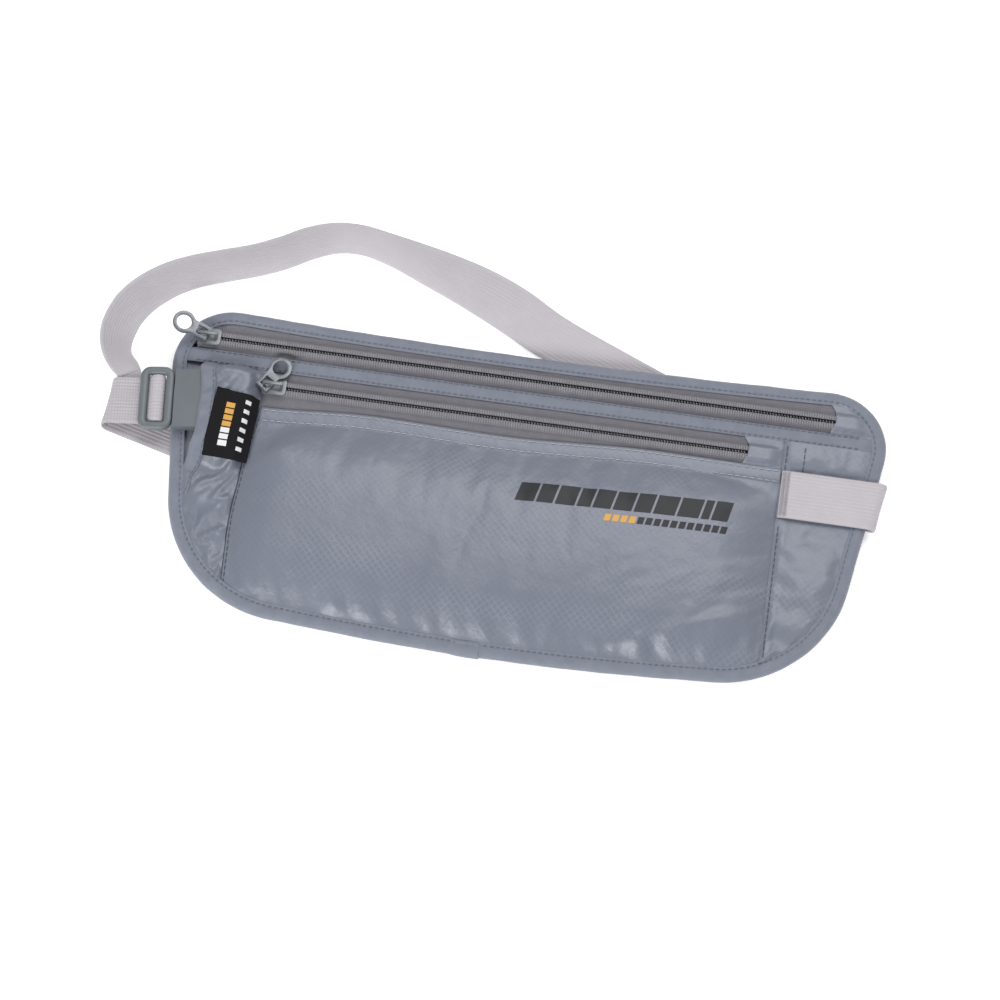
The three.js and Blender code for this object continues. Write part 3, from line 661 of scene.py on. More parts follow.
def make_left_wing():
    def place(u, v):
        y = lerp(-49.4, BAND_LOW + 1.0, v)
        x = lerp(wing_mouth(y), left_seam(y), u)
        edge = smooth((u - 0.2) * 5) * smooth((1 - u) * 8)
        ridge = abs(wobble(0.8 * x - 0.6 * y, 0.2 * x + 0.27 * y, 5.5, 8.1))
        crease = 1.9 - 5.5 * ridge + 0.4 * wobble(x, y, 3.4, 2.2)
        return x, y, wing_height(x, y) + crease * edge

    grid = grid_of(60, 22, place)
    pinned = pins_of(grid, lambda x, y: False)
    pinned[:, 1] |= grid[:, 1, 1] < -25
    settled = settle(grid, pinned, 0.5, 0.05, bend=0.15)
    for point in settled.reshape(-1, 3):
        x, y, z = point
        near_zip = smooth((y - 28) / 3)
        base = wing_height(x, y)
        ease = lerp(3.5, 1.4, smooth((base - 8) / 3))
        height = min(max(z, base + 0.1), base + lerp(ease, 0.1, smooth((x + 117) / 4) * near_zip))
        point[2] = min(height, lerp(20, 7.7, smooth((x + 112.4) / 1.6) * near_zip))
    return settled


def make_right_wing():
    def place(u, v):
        y = lerp(-52.2, BAND_LOW + 1.0, v)
        x = lerp(RIGHT_SEAM - 0.6, side_edge(y, 4.8), u)
        edge = smooth(u * 5) * smooth((1 - u) * 5)
        rise = 1.1 * smooth((5 - y) / 16) + 0.9 * smooth((y - 29) / 4)
        return x, y, 5.5 + (rise + 0.5 * wobble(x, y, 8, 5.5)) * edge

    grid = grid_of(56, 22, place)
    settled = settle(grid, pins_of(grid, lambda x, y: 7 < y < 31), 0.2, 0.01)
    for point in settled.reshape(-1, 3):
        x, y, z = point
        fold = 0.45 * smooth((x - RIGHT_SEAM - 0.6) / 0.6) * smooth((109.4 - x) / 0.8)
        top = 6.1 + 2.9 * max(smooth((7 - y) / 14), smooth((y - 30.5) / 4))
        point[2] = min(max(z, 5.4) + fold, top)
    return settled


def cloth_piece(name, grid, nodes, thickness=0.4, look=RIPSTOP, slot="ripstop"):
    made = refine(piece(name, *shell(grid, thickness), look, slot))
    if nodes:
        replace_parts(made, *nodes)
    return made


front_grid = make_front()
left_grid = make_left_wing()
right_grid = make_right_wing()
front_cloth = cloth_piece("front_cloth", front_grid, ["front_panel"])
left_cloth = cloth_piece("left_wing_cloth", left_grid, ["left_wing_panel"])
right_cloth = cloth_piece("right_wing_cloth", right_grid, ["right_wing_panel"])
cloth_trees = trees_of(front_grid, left_grid, right_grid)


# The folded hem along the front's top edge, sewn twice
def hem_place(u, v):
    x = lerp(left_seam(26) + 0.6, RIGHT_SEAM, u)
    y = front_top(x) + lerp(-7.0, 0.5, v)
    level = top_of(cloth_trees[:1], x, min(y, front_top(x) - 0.2), 6.0)
    return x, y, level + 0.22 + 0.28 * math.sin(math.pi * v) - 0.5 * (v == 0) + 0.10 * wobble(x, y, 2.6, 6.0)


hem_grid = grid_of(5, 120, hem_place)
cloth_piece("front_hem", hem_grid, [])
hem_trees = trees_of(hem_grid)


def hem_route(offset):
    xs = np.arange(left_seam(26) + 2.0, RIGHT_SEAM - 1.0, 1.0)
    return laid(hem_trees, [(x, front_top(x) + offset) for x in xs], 0.12)


stitches("front_hem_stitching", [hem_route(-0.9), hem_route(-5.4)], PALE_THREAD,
         length=2.1, gap=0.9, radius=0.2)


def seam_route(line, low, high, step):
    return laid(cloth_trees, [(line(y), y) for y in np.arange(low, high, step)], 0.1)


seam_routes = [
    seam_route(lambda y: left_seam(y) + 1.1, -50.0, 24.0, 1.0),
    seam_route(lambda y: RIGHT_SEAM + 1.3, -50.0, 8.0, 1.0),
    seam_route(lambda y: RIGHT_SEAM + 1.3, 30.0, 41.5, 0.5),
    seam_route(lambda y: 113.5, 30.0, 41.5, 0.5),
]
stitches("seam_stitching", seam_routes, GREY_THREAD, length=1.9, gap=0.8, radius=0.2)


# ---- Back: a padded mesh panel ----
def make_back():
    def place(u, v):
        y = lerp(-64.2, 65.2, v)
        x = (2 * u - 1) * side_edge(y, 1.2)
        return x, min(max(y, bottom_edge(x, 1.2)), top_edge(x, 1.2)), 3.25

    points, faces = shell(grid_of(40, 90, place), 1.0)
    for point in points[len(points) // 2:]:
        x, y = point[:2]
        inside = min(side_edge(y, 0) - abs(x), top_edge(x, 0) - y, y - bottom_edge(x, 0))
        crown = smooth((inside - 6.5) / 9)
        point[2] = 2.15 - 0.55 * crown + 0.12 * wobble(x, y, 18, 3.1) * crown
    made = refine(piece("padded_back", points, faces, SPACER, "mesh"))
    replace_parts(made, "back_panel")


make_back()


# ---- Edge binding: a folded tape rolled over the edge, lapped at the bottom ----
BINDING_SECTION = [
    (6.2, 5.50), (6.15, 5.86), (5.7, 5.98), (5.1, 5.92), (4.7, 5.78), (4.3, 5.92), (3.4, 6.12), (2.4, 6.14),
    (1.5, 5.92), (0.8, 5.45), (0.3, 4.8), (0.05, 4.1), (0.05, 3.4), (0.35, 2.7), (0.9, 2.15), (1.7, 1.8),
    (2.8, 1.62), (4.3, 1.66), (5.6, 1.62), (6.2, 1.66), (6.2, 2.02), (4.4, 2.06), (2.8, 2.04), (1.5, 2.45),
    (0.75, 3.1), (0.5, 3.8), (0.75, 4.5), (1.5, 5.15), (2.6, 5.62), (4.6, 5.42),
]
edge_points, edge_normals = outline(1.6)


def binding_section(at, inward, lift, seed):
    ring = []
    for inset, z in BINDING_SECTION:
        roll = 0.16 * wobble(at[0] + z, at[1], 9, seed) + 0.07 * wobble(at[0], at[1], 2.2, seed + 3)
        push = inset - lift + roll * smooth((3 - inset) / 2)
        z += (0.35 * lift if z > 3.8 else -0.15 * lift) + 0.12 * wobble(at[0], at[1] + inset, 6, seed)
        ring.append((at[0] + inward[0] * push, at[1] + inward[1] * push, z))
    return ring


def make_binding():
    start = int(np.argmin(np.abs(edge_points[:, 0] + 10) + (edge_points[:, 1] > 0) * 500))
    count = len(edge_points)
    lap = 5
    sections = []
    for k in range(count + lap):
        at = edge_points[(start + k) % count]
        inward = edge_normals[(start + k) % count]
        lift = 0.55 * smooth((k - count + lap) / 3)
        sections.append(binding_section(at, inward, lift, 2.5))
    made = refine(piece("edge_binding_tape", *sweep(sections), BINDING, "binding"))
    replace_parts(made, "edge_binding")


make_binding()


def binding_route(inset, z):
    """Round the pouch on the binding."""
    fine, inward = outline(0.8)
    return [(p[0] + n[0] * inset, p[1] + n[1] * inset, z + 0.1 * wobble(p[0], p[1] + inset, 6, 2.5))
            for p, n in zip(fine, inward)]


TAPE_STITCH = {"length": 1.5, "gap": 0.9, "radius": 0.17}
stitches("binding_stitching", [binding_route(4.7, 5.86)], BINDING_THREAD, **TAPE_STITCH)
stitches("binding_back_stitching", [binding_route(4.7, 1.62)], BINDING_THREAD,
         length=1.5, gap=0.9, radius=0.14, sink=-0.1)


# ---- Flat tapes: the band between the zips and the binding of the wing's mouth ----
def band_place(u, v):
    reach = side_edge(45, 5.2)
    x, s = lerp(-reach, reach, v), 2 * u - 1
    level = 6.1 + 0.12 * wobble(x, 0, 20, 7) + 0.25 * (1 - abs(s) ** 3) + 0.05 * wobble(x, 45.0 + s * 3, 3)
    return x, 45.0 + s * 3.2, level - 0.8 * (1 - smooth(min(v, 1 - v) * 200 / 3))


band_grid = grid_of(200, 9, band_place).transpose(1, 0, 2)
cloth_piece("zip_band", band_grid, ["middle_band"], 0.5, BINDING, "binding")
band_trees = trees_of(band_grid)
band_routes = [laid(band_trees, [(x, 45.0 + side) for x in np.arange(-136.0, 136.0, 1.0)], 0.1)
               for side in (-2.3, 2.3)]
stitches("zip_band_stitching", band_routes, BINDING_THREAD, **TAPE_STITCH)


def mouth_centre(t):
    y = lerp(-24, BAND_LOW + 0.5, t)
    return through(MOUTH_LINE, y) + 3.15, y


def mouth_place(u, v):
    """The wing's bound edge, tucked under the edge binding at its lower end."""
    x, y = mouth_centre(v)
    s = 2 * u - 1
    px = x - s * 3.15
    level = max(top_of(cloth_trees, min(max(px, x - 3.0), left_seam(y) - 1), y, 5.6), 5.4)
    roll = 0.9 * smooth((s - 0.72) / 0.28)
    z = level + 0.42 + 0.2 * (1 - abs(s) ** 3) - roll + 0.06 * wobble(px, y, 3, 4)
    tuck = smooth((7.6 - side_edge(y, 0) - px) / 2.0)
    return max(px, 1.6 - side_edge(y, 0)), y, lerp(z + 0.25, 5.05, tuck)


mouth_grid = grid_of(90, 9, mouth_place).transpose(1, 0, 2)
cloth_piece("wing_mouth_binding", mouth_grid, ["left_wing_binding"], 0.8, BINDING, "binding")
mouth_trees = trees_of(mouth_grid)
mouth_route = [(mouth_centre(t)[0] + 2.2, mouth_centre(t)[1]) for t in np.linspace(0.12, 0.99, 84)]
stitches("wing_mouth_stitching", [laid(mouth_trees, mouth_route, 0.1)], BINDING_THREAD, **TAPE_STITCH)


# ---- Zips: woven tapes with ribbed folds over two meshed coils ----
TAPE_ROOF = [(0.72, 6.96), (0.74, 7.1), (1.05, 7.22), (1.7, 7.26), (2.3, 7.16), (2.75, 6.8), (2.92, 5.95),
             (3.2, 5.52)]
TAPE_UNDER = [(3.5, 5.0), (2.95, 5.2), (2.72, 5.6), (2.55, 6.6), (2.2, 6.96), (1.05, 7.04)]


def zip_tape(name, centre, sign, left, right, flat_from, reach, node):
    """One side of a zip: reach(x) is how far out the tape goes, and the ribs lie down past flat_from."""
    sections, uv = [], []
    for x in np.arange(left, right, RIB_PITCH / 4):
        rib = math.cos(2 * math.pi * x / RIB_PITCH)
        rise = 1 - smooth((x - flat_from) / 2)
        out = max(reach(x), 3.8)
        middle = (3.2 + out) / 2
        ring = [(s, lerp(5.4, z + (0.2 * rib if 0.6 < s < 2.9 else 0.0), rise)) for s, z in TAPE_ROOF]
        ring += [(middle, 5.42 + 0.12 * wobble(x, centre, 9, sign)), (out, 5.4), (out, 5.0), (middle, 5.0)]
        ring += [(s, lerp(5.0, z, rise)) for s, z in TAPE_UNDER]
        section = [(x, centre + sign * s, z) for s, z in ring]
        sections.append(section if sign > 0 else section[::-1])
        uv += [(x * 0.001, abs(y - centre) * 0.001) for _, y, _ in sections[-1]]
    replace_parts(piece(name, *sweep(sections), TAPE, "tape", uv=uv), node)


def zip_coil(name, centre, sign, left, right, node):
    """A continuous coil, its turns meshed with the other side's at the zip's line."""
    turns = (right - left) / COIL_PITCH
    steps = int(turns * 10)
    phase = 0.0 if sign > 0 else math.pi
    path, uv = [], []
    for k in range(steps + 1):
        angle = 2 * math.pi * turns * k / steps + phase
        x = left + (right - left) * k / steps
        path.append((x, centre + sign * (1.16 + 1.28 * math.cos(angle)), 6.02 + 0.3 * math.sin(angle)))
        uv += [(angle / (2 * math.pi) + 0.5, 0)] * 5
    # The upper coil gets the painted highlight on its noses, the lower coil painted shade.
    look = LIT_COIL if sign > 0 else SHADED_COIL
    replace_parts(piece(name, *tube(path, 0.17), look, "coil", uv=uv), node)


zip_tape("upper_tape_upper", UPPER_ZIP, 1, -136, 134, 126.5,
         lambda x: top_edge(x, 4.8) - UPPER_ZIP, "upper_zip_tape_upper")
zip_tape("upper_tape_lower", UPPER_ZIP, -1, -137, 136, 126.5,
         lambda x: UPPER_ZIP - 45.6, "upper_zip_tape_lower")
zip_tape("lower_tape_upper", LOWER_ZIP, 1, -107.4, 104.6, 93.0,
         lambda x: 44.4 - LOWER_ZIP, "lower_zip_tape_upper")
zip_tape("lower_tape_lower", LOWER_ZIP, -1, -107.4, 104.6, 93.0,
         lambda x: LOWER_ZIP - front_top(x) + 3.0, "lower_zip_tape_lower")
for level, centre, left, right in (("upper", UPPER_ZIP, -133.2, 124.0), ("lower", LOWER_ZIP, -106.8, 90.0)):
    zip_coil(level + "_coil_upper", centre, 1, left, right, level + "_zip_coil_upper")
    zip_coil(level + "_coil_lower", centre, -1, left, right, level + "_zip_coil_lower")


def end_cover(name, left_line, right_line, low_line, high_line, node, zip_y):
    """A cloth flap over a zip's end, standing over the coil at its curved edge."""
    def place(u, v):
        y = lerp(low_line(0), high_line(0), v)
        for _ in range(8):
            x = lerp(through(left_line, y), right_line(y), u)
            y = (y + lerp(low_line(x), high_line(x), v)) / 2
        over_coil = smooth((4.6 - abs(y - zip_y)) / 2.2) * smooth((1 - u) * 2.2)
        z = 5.95 + 1.95 * over_coil + 0.18 * wobble(x, y, 4, zip_y)
        return x, y, z - 0.5 * smooth((u - 0.94) / 0.06)

    cloth_piece(name, grid_of(26, 22, place), [node])


end_cover("upper_end_flap", [(48, 122.6), (53, 124.2), (57, 124.0), (61, 122.0)],
          lambda y: side_edge(y, 4.4), lambda x: 47.6, lambda x: top_edge(x, 4.4), "upper_zip_end_cover",
          UPPER_ZIP)
end_cover("lower_end_flap", [(28, 88.0), (34, 90.6), (38, 90.8), (42, 88.6)],
          lambda y: RIGHT_SEAM + 0.2, lambda x: front_top(x) - 1.5, lambda x: 42.4, "lower_zip_end_cover",
          LOWER_ZIP)


# ---- Moulded and cast pieces: the CAD shapes with their edges rounded off ----
def rounded(node, name, look, body, width):
    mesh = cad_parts[node].data.copy()
    work = bmesh.new()
    work.from_mesh(mesh)
    bmesh.ops.remove_doubles(work, verts=work.verts, dist=0.00002)
    bmesh.ops.dissolve_limit(work, angle_limit=math.radians(2), verts=work.verts, edges=work.edges)
    work.to_mesh(mesh)
    work.free()
    mesh.materials.clear()
    mesh.materials.append(look)
    mesh.polygons.foreach_set("use_smooth", [True] * len(mesh.polygons))
    made = bpy.data.objects.new(name, mesh)
    scene.collection.objects.link(made)
    bevel = made.modifiers.new("rounding", "BEVEL")
    bevel.width = width * 0.001
    bevel.segments = 3
    bevel.limit_method = "ANGLE"
    bevel.angle_limit = math.radians(32)
    bevel.harden_normals = True
    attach(made, body)
    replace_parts(made, node)


for end in ("upper", "lower"):
    rounded(end + "_zip_slider", end + "_slider_body", METAL, end + "_slider", 0.32)
    rounded(end + "_zip_pull", end + "_pull_tab", METAL, end + "_pull", 0.36)


def to_row(u, v, z):
    c, s = math.cos(BUCKLE_TURN), math.sin(BUCKLE_TURN)
    return BUCKLE_X + u * c - v * s, BUCKLE_Y + u * s + v * c, z


def soft_bar(u0, u1, v0, v1, z0, z1, round_by):
    """A bar with rounded edges, in the buckle's frame."""
    work = bmesh.new()
    bmesh.ops.create_cube(work, size=1.0)
    for vert in work.verts:
        x, y, z = vert.co + Vector((0.5, 0.5, 0.5))
        vert.co = Vector((lerp(u0, u1, x), lerp(v0, v1, y), lerp(z0, z1, z)))
    bmesh.ops.bevel(work, geom=work.edges[:], offset=round_by, segments=3, profile=0.5, affect="EDGES")
    work.verts.index_update()
    points = [to_row(*vert.co) for vert in work.verts]
    faces = [tuple(vert.index for vert in face.verts) for face in work.faces]
    work.free()
    return points, faces


def make_frame():
    """The ladder-lock frame with its bar, and the tongue that slides into the body."""
    left, right, half = -10.6, -0.15, 11.9
    corner = 2.4
    ring = []
    for cu, cv, start in ((right - corner, half - corner, 0), (left + corner, half - corner, 90),
                          (left + corner, -half + corner, 180), (right - corner, -half + corner, 270)):
        for k in range(9):
            angle = math.radians(start + 90 * k / 8)
            ring.append((cu + corner * math.cos(angle), cv + corner * math.sin(angle)))
    ring = resample(ring, 0.8, closed=True)
    way = np.roll(ring, -1, axis=0) - np.roll(ring, 1, axis=0)
    way /= np.linalg.norm(way, axis=1)[:, None]
    sections = []
    for (u, v), (du, dv) in zip(ring, way):
        section = []
        for k in range(20):
            angle = 2 * math.pi * k / 20
            c, q = math.cos(angle), math.sin(angle)
            out = 1.68 * math.copysign(abs(c) ** 0.7, c)
            rise = 1.74 * math.copysign(abs(q) ** 0.7, q)
            section.append(to_row(u + dv * out, v - du * out, 9.25 + rise))
        sections.append(section)
    parts = [sweep(sections, closed=True), soft_bar(-5.7, -4.1, -11, 11, 7.8, 9.5, 0.6),
             soft_bar(0.2, 19, -3, 3, 7.75, 9.65, 0.5), soft_bar(0.1, 3.2, -6.4, 6.4, 7.9, 9.5, 0.5)]
    made = piece("buckle_frame", *join_parts(parts), PLASTIC, "plastic", "male_half")
    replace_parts(made, "buckle_male")


make_frame()
rounded("buckle_female", "buckle_body", PLASTIC, "pouch", 0.4)
rounded("latch_arm_upper", "upper_arm", PLASTIC, "arm_upper", 0.3)
rounded("latch_arm_lower", "lower_arm", PLASTIC, "arm_lower", 0.3)
rounded("buckle_anchor", "anchor_webbing", BINDING, "pouch", 0.25)


# ---- The elastic strap ----
def smooth_path(rows, steps):
    """A centripetal curve through rows of numbers, its first three columns being its place."""
    rows = np.array(rows, dtype=float)
    rows = np.vstack([2 * rows[0] - rows[1], rows, 2 * rows[-1] - rows[-2]])
    made = []
    for k in range(steps + 1):
        place = k / steps * (len(rows) - 3)
        i = min(int(place), len(rows) - 4)
        p = rows[i:i + 4]
        gaps = [max(np.linalg.norm(p[n + 1, :3] - p[n, :3]) ** 0.5, 1e-6) for n in range(3)]
        t1 = (p[1] - p[0]) / gaps[0] - (p[2] - p[0]) / (gaps[0] + gaps[1]) + (p[2] - p[1]) / gaps[1]
        t2 = (p[2] - p[1]) / gaps[1] - (p[3] - p[1]) / (gaps[1] + gaps[2]) + (p[3] - p[2]) / gaps[2]
        a, b = t1 * gaps[1], t2 * gaps[1]
        w = place - i
        rise = p[2] - p[1]
        made.append(p[1] + a * w + (3 * rise - 2 * a - b) * w ** 2 + (a + b - 2 * rise) * w ** 3)
    return np.array(made)


def strap_piece(name, stations, along, body, look):
    """Ribbed elastic along stations of place, sideways direction and half width."""
    at = np.array([s[0] for s in stations], dtype=float)
    run = np.concatenate([[0], np.cumsum(np.linalg.norm(np.diff(at, axis=0), axis=1))])
    ribs = 13
    across = []
    for k in range(4 * ribs + 1):
        s = -1 + 2 * k / (4 * ribs)
        across.append((s, 0.10 * math.cos(math.pi * ribs * (s + 1)) - 0.32 * smooth((abs(s) - 0.93) / 0.07)))
    sections, uv = [], []
    for (place, side, half), way, length in zip(stations, along, run):
        side = np.array(side) / np.linalg.norm(side)
        face = np.cross(way, side)
        face /= np.linalg.norm(face)
        ring = []
        for sign in (1, -1):
            for s, rise in (across if sign < 0 else across[::-1]):
                point = np.array(place) + side * s * half + face * sign * (THICK / 2 - 0.1 + rise)
                point[2] = max(point[2], 0.02)
                ring.append(point)
                uv.append((length * 0.001, (s * HALF + HALF) * 0.001))
        sections.append(ring)
    return piece(name, *sweep(sections), look, "elastic", body, uv)


def fold(start, heading, axis, radius):
    """Half a turn round a level axis, down to the level below."""
    start, heading, axis = np.array(start, float), np.array(heading, float), np.array(axis, float)
    across = np.cross(axis, (0, 0, 1))
    across /= np.linalg.norm(across)
    if across @ heading < 0:
        across = -across
    drift = (heading @ axis) / (heading @ across)
    side0 = np.cross((0, 0, 1), heading)
    made = []
    for turn in np.linspace(0, math.pi, 25):
        tangent = across * math.cos(turn) - np.array((0, 0, math.sin(turn)))
        at = start + across * radius * math.sin(turn) + axis * drift * radius * turn
        at[2] += radius * (math.cos(turn) - 1)
        made.append((at, axis * (side0 @ axis) + tangent * (side0 @ across), HALF))
    return made


LOOP = [
    (2, 66.2, 0.38, 0.925, 2), (-16, 75.4, 0.42, 0.907, 22), (-34, 84.4, 0.4, 0.917, 45),
    (-51, 92, 0.36, 0.933, 62),
    (-65, 98, 0.28, 0.96, 74), (-77, 101.3, 0.1, 0.995, 78), (-87, 100.9, -0.22, 0.975, 78),
    (-97, 96.8, -0.46, 0.888, 75), (-107, 90.8, -0.45, 0.893, 74), (-118, 85.8, -0.34, 0.94, 75),
    (-130, 81.6, -0.32, 0.947, 75), (-142, 77, -0.44, 0.898, 74), (-152, 70.6, -0.62, 0.785, 70),
    (-160, 62, -0.82, 0.572, 65), (-164.6, 52, -0.95, 0.312, 60), (-166, 43.5, -1, 0.02, 58),
]


def stations_of(rows):
    return [(row[:3], row[3:6], row[6]) for row in rows]


def densify(stations, step):
    """Even stations along a strap, by straight blending between the given ones."""
    at = np.array([s[0] for s in stations], float)
    side = np.array([np.array(s[1]) / np.linalg.norm(s[1]) for s in stations])
    half = np.array([s[2] for s in stations], float)
    rows = resample(np.hstack([at, side, half[:, None]]), step)
    for _ in range(2):
        rows[1:-1] = (rows[:-2] + 2 * rows[1:-1] + rows[2:]) / 4
    return stations_of(rows)


def make_strap():
    axis = (-math.sin(SIDE_ANGLE), math.cos(SIDE_ANGLE), 0)
    level = THICK / 2 + 6.4
    front = [((x, 19, level - 0.5 * smooth((107 - x) / 2)), (0, 1, 0), HALF)
             for x in np.linspace(RIGHT_SEAM + 0.4, 138, 12)]
    wrap = fold((side_edge(19, 0), 19, level), (1, 0, 0), axis, 3.2)
    last_at, last_side, _ = wrap[-1]
    edge = last_at - last_side * HALF
    rows = [(edge[0], edge[1], 0, last_side[0], last_side[1]), (80.4, 33.6, 0, 0.355, 0.935)]
    rows += [(x, y, lean, ox, oy) for x, y, ox, oy, lean in LOOP]
    edges = smooth_path(rows, 330)
    loop = []
    for x, y, lean, ox, oy in edges:
        angle = math.radians(max(lean, 0))
        outward = math.atan2(oy, ox)
        level_part = math.cos(angle)
        side = np.array((math.cos(outward) * level_part, math.sin(outward) * level_part, math.sin(angle)))
        loop.append((np.array((x, y, level_part * THICK / 2)) + side * HALF, side, HALF))
    return densify(front + wrap + loop[1:], 1.1)


def on_buckle(u, z):
    return (*to_row(u, 0.0, z), math.sin(BUCKLE_TURN), -math.cos(BUCKLE_TURN), 0, HALF)


def make_buckle_end():
    rows = [
        (-170.9, 43.0, 8.9, -0.53, 0, 0.85, 9.8), (-167.6, 38, 7.2, -0.6, -0.3, 0.7, 8),
        (-162.8, 33.9, 4.3, -0.72, -0.5, 0.2, 5),
        (-159.6, 28.6, 4, -0.4, -0.9, 0, 5.6), (-156.4, 23.6, 4.25, -0.1, -0.99, 0, 9), on_buckle(-9, 4.3),
        on_buckle(-5, 4.3), on_buckle(-3.3, 5), on_buckle(-2.7, 6.6), on_buckle(-2.6, 8.4),
        on_buckle(-3.2, 9.8),
        on_buckle(-4.9, 10.4), on_buckle(-6.7, 9.9), on_buckle(-8.1, 8.6), on_buckle(-9.3, 6.8),
        on_buckle(-11.4, 6.3),
        on_buckle(-14, 6.3), on_buckle(-18, 6.3),
    ]
    lead = stations_of(smooth_path(rows, 170))
    turn = BUCKLE_TURN
    tilt = math.radians(90 - 10.5) + turn
    start = on_buckle(-22.5, 6.3)[:3]
    turned = fold(start, (-math.cos(turn), -math.sin(turn), 0), (math.cos(tilt), math.sin(tilt), 0),
                  (6.3 - THICK / 2) / 2)
    last_at, last_side, _ = turned[-1]
    onward = np.cross(last_side, (0, 0, -1))
    tail = [(last_at + onward * length, last_side, HALF) for length in np.linspace(2, 92, 50)]
    return densify(lead + turned + tail, 0.9)


strap_stations = make_strap()
tail_stations = make_buckle_end()
split = len(strap_stations)
joined = np.array([(*at, *side, half) for at, side, half in strap_stations + tail_stations[1:]])
for _ in range(60):
    near = slice(split - 14, split + 14)
    before, after = joined[split - 15:split + 13], joined[split - 13:split + 15]
    joined[near] = (before + 2 * joined[near] + after) / 4
ways = np.gradient(joined[:, :3], axis=0)
ways /= np.linalg.norm(ways, axis=1)[:, None]
joined = stations_of(joined)
split += 17
strap_stations, tail_stations = joined[:split], joined[split - 1:]
strap = strap_piece("elastic_strap", strap_stations, ways[:split], None, ELASTIC)
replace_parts(strap, "waist_strap")
tail = strap_piece("elastic_end", tail_stations, ways[split - 1:], "male_half", ELASTIC_END)
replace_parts(tail, "strap_buckle_end", "strap_tail")
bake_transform(strap)


def length_of(stations):
    at = np.array([s[0] for s in stations])
    return float(np.linalg.norm(np.diff(at, axis=0), axis=1).sum()) * 0.001


def route_of(stations, every):
    return [tuple(mm(s[0])) for s in stations[::every]] + [tuple(mm(stations[-1][0]))]


tuple(mm(strap_stations[0][0]))
length_of(strap_stations)
route_of(strap_stations, 3)
tuple(mm(tail_stations[0][0]))
length_of(tail_stations)
route_of(tail_stations, 2)


# Zigzag tacking where the strap is sewn into the right seam
def make_bartack():
    parts = []
    for column in (RIGHT_SEAM + 1.3, RIGHT_SEAM + 3.0):
        zigzag = [(column + (0.7 if k % 2 else -0.7), 9.6 + 0.48 * k, 7.72) for k in range(40)]
        parts.append(tube(resample(zigzag, 0.25), 0.16))
    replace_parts(piece("strap_tacking", *join_parts(parts), BUFF_THREAD, "thread"), "strap_bartack")


make_bartack()


# ---- Label, sewn into the left seam and lying over the wing ----
def on_label(u, v):
    x = lerp(lerp(-125.7, -107.6, u), lerp(-124.2, -106.8, u), v)
    return x, lerp(lerp(-0.3, -0.1, u), lerp(29.2, 27.9, u), v)


def label_place(u, v):
    x, y = on_label(u, v)
    around = [(x + dx, y + dy) for dx in (-1.5, 0, 1.5) for dy in (-1.5, 0, 1.5)]
    level = max(top_of(cloth_trees + mouth_trees, px, py, 6.0) for px, py in around)
    return x, y, max(level + 0.5, lerp(12.3, 8.4, u * u))


def make_label():
    grid = grid_of(30, 20, label_place)
    for _ in range(12):
        inner = grid[1:-1, 1:-1, 2]
        around = (grid[:-2, 1:-1, 2] + grid[2:, 1:-1, 2] + grid[1:-1, :-2, 2] + grid[1:-1, 2:, 2]) / 4
        grid[1:-1, 1:-1, 2] = np.maximum(inner, around)
    cloth_piece("side_label", grid, ["label"], 0.35, LABEL, "label")
    return trees_of(grid)


label_trees = make_label()


def printed(name, grids, look):
    """Thin plain blocks printed on the cloth."""
    parts = [shell(grid, 0.06) for grid in grids]
    made = piece(name, *join_parts(parts), look, "label")
    made.data.set_sharp_from_angle(angle=math.radians(60))


def label_block(u, v, width, length):
    """A block on the label, by its middle and size as shares of it."""
    def place(i, j):
        x, y = on_label(u + width * (i - 0.5), v + length * (j - 0.5))
        return x, y, top_of(label_trees, x, y, 12) + 0.1

    return grid_of(4, 4, place)


printed("label_print_white", [label_block(0.4, 0.2 + 0.095 * k, 0.2, 0.075) for k in range(3)]
        + [label_block(0.78, 0.16 + 0.14 * k, 0.12, 0.06) for k in range(6)], WHITE_INK)
printed("label_print_yellow", [label_block(0.4, 0.485 + 0.095 * k, 0.2, 0.075) for k in range(4)], YELLOW_INK)


# ---- A generic print: two rows of plain slanted bars ----
def slanted_bar(x0, width, low, high):
    def place(u, v):
        y = lerp(low, high, v)
        x = x0 + width * u + 0.22 * (y - low)
        y += 0.036 * (x - 1)
        return x, y, top_of(cloth_trees[:1], x, y, 12) + 0.12

    return grid_of(8, max(int(width), 2) + 1, place)


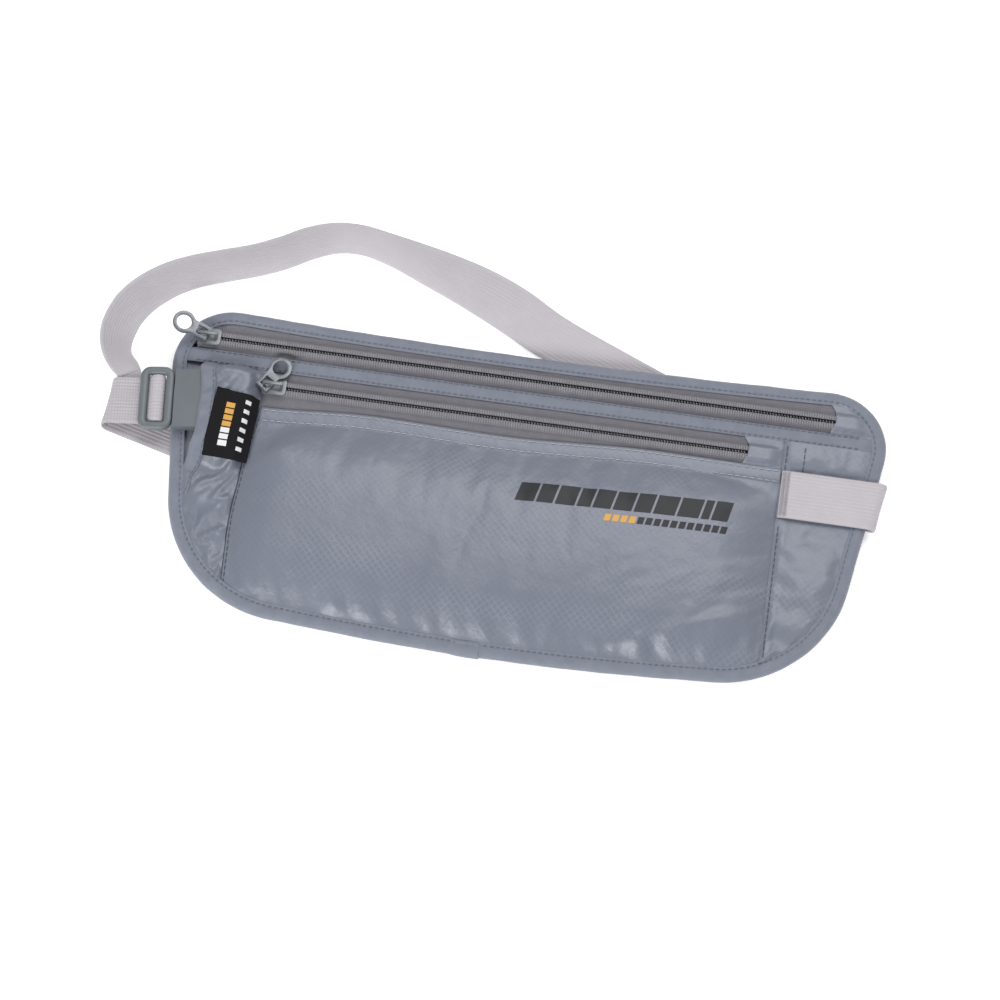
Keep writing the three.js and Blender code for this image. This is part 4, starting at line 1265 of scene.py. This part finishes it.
big_bars = []
x = 1.0
for width in (7.6, 6.6, 7.8, 5.4, 7.2, 7.4, 6.8, 8.6, 8.6, 3.2, 6.6):
    big_bars.append(slanted_bar(x, width, -1.0, 7.4))
    x += width + 0.9
printed("front_print_bars", big_bars, INK)
small_bars = [slanted_bar(37.0 + 3.3 * k, 2.5, -6.2, -3.2) for k in range(15)]
printed("front_print_small_yellow", small_bars[:4], YELLOW_INK)
printed("front_print_small_dark", small_bars[4:], INK)

# The inner panels keep their CAD shape, with their own cloths
for node, look in (("divider_panel", RIPSTOP), ("rfid_lining_rear", LINING), ("rfid_lining_front", LINING)):
    for material_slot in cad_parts[node].material_slots:
        material_slot.material = look


# ---- Camera, floor and light ----
def aim(made, place, target, up):
    back = (place - target).normalized()
    right = up.cross(back).normalized()
    turned = Matrix((right, back.cross(right), back)).transposed().to_4x4()
    turned.translation = place
    made.matrix_world = turned


camera_data = bpy.data.cameras.new("camera")
camera_data.lens = 100
camera_data.sensor_width = 36
camera = bpy.data.objects.new("camera", camera_data)
scene.collection.objects.link(camera)
aim(camera, mm((50.5, -375.4, 1049.7)), mm((-5.0, 0.5, 5.6)), Vector((-0.137, 0.930, 0.342)))
scene.camera = camera

floor_mesh = bpy.data.meshes.new("floor")
floor_mesh.from_pydata([(-3, -3, 0), (3, -3, 0), (3, 3, 0), (-3, 3, 0)], [], [(0, 1, 2, 3)])
floor = bpy.data.objects.new("floor", floor_mesh)
scene.collection.objects.link(floor)
floor_look = Look("floor_white", (0.92, 0.92, 0.92), 0.9, Specular_IOR_Level=0.1,
                  Emission_Color=(1.0, 1.0, 1.0, 1.0), Emission_Strength=0.42)
floor_mesh.materials.append(floor_look.done())


def soft_light(name, place, size, power):
    data = bpy.data.lights.new(name, "AREA")
    data.shape = "DISK"
    data.size = size
    data.energy = power
    made = bpy.data.objects.new(name, data)
    scene.collection.objects.link(made)
    aim(made, Vector(place), Vector((0, 0, 0)), Vector((0.1, 1, 0.2)))


soft_light("key", (-0.45, -1.35, 0.95), 0.8, 20)
soft_light("top", (0.2, 0.9, 1.5), 1.2, 15)
soft_light("rim", (0.9, 1.2, 0.8), 0.8, 4)
world = bpy.data.worlds.new("studio")
world.use_nodes = True
world.node_tree.nodes["Background"].inputs[0].default_value = (1.0, 1.0, 1.0, 1.0)
world.node_tree.nodes["Background"].inputs[1].default_value = 0.33
scene.world = world
scene.view_settings.view_transform = "Standard"
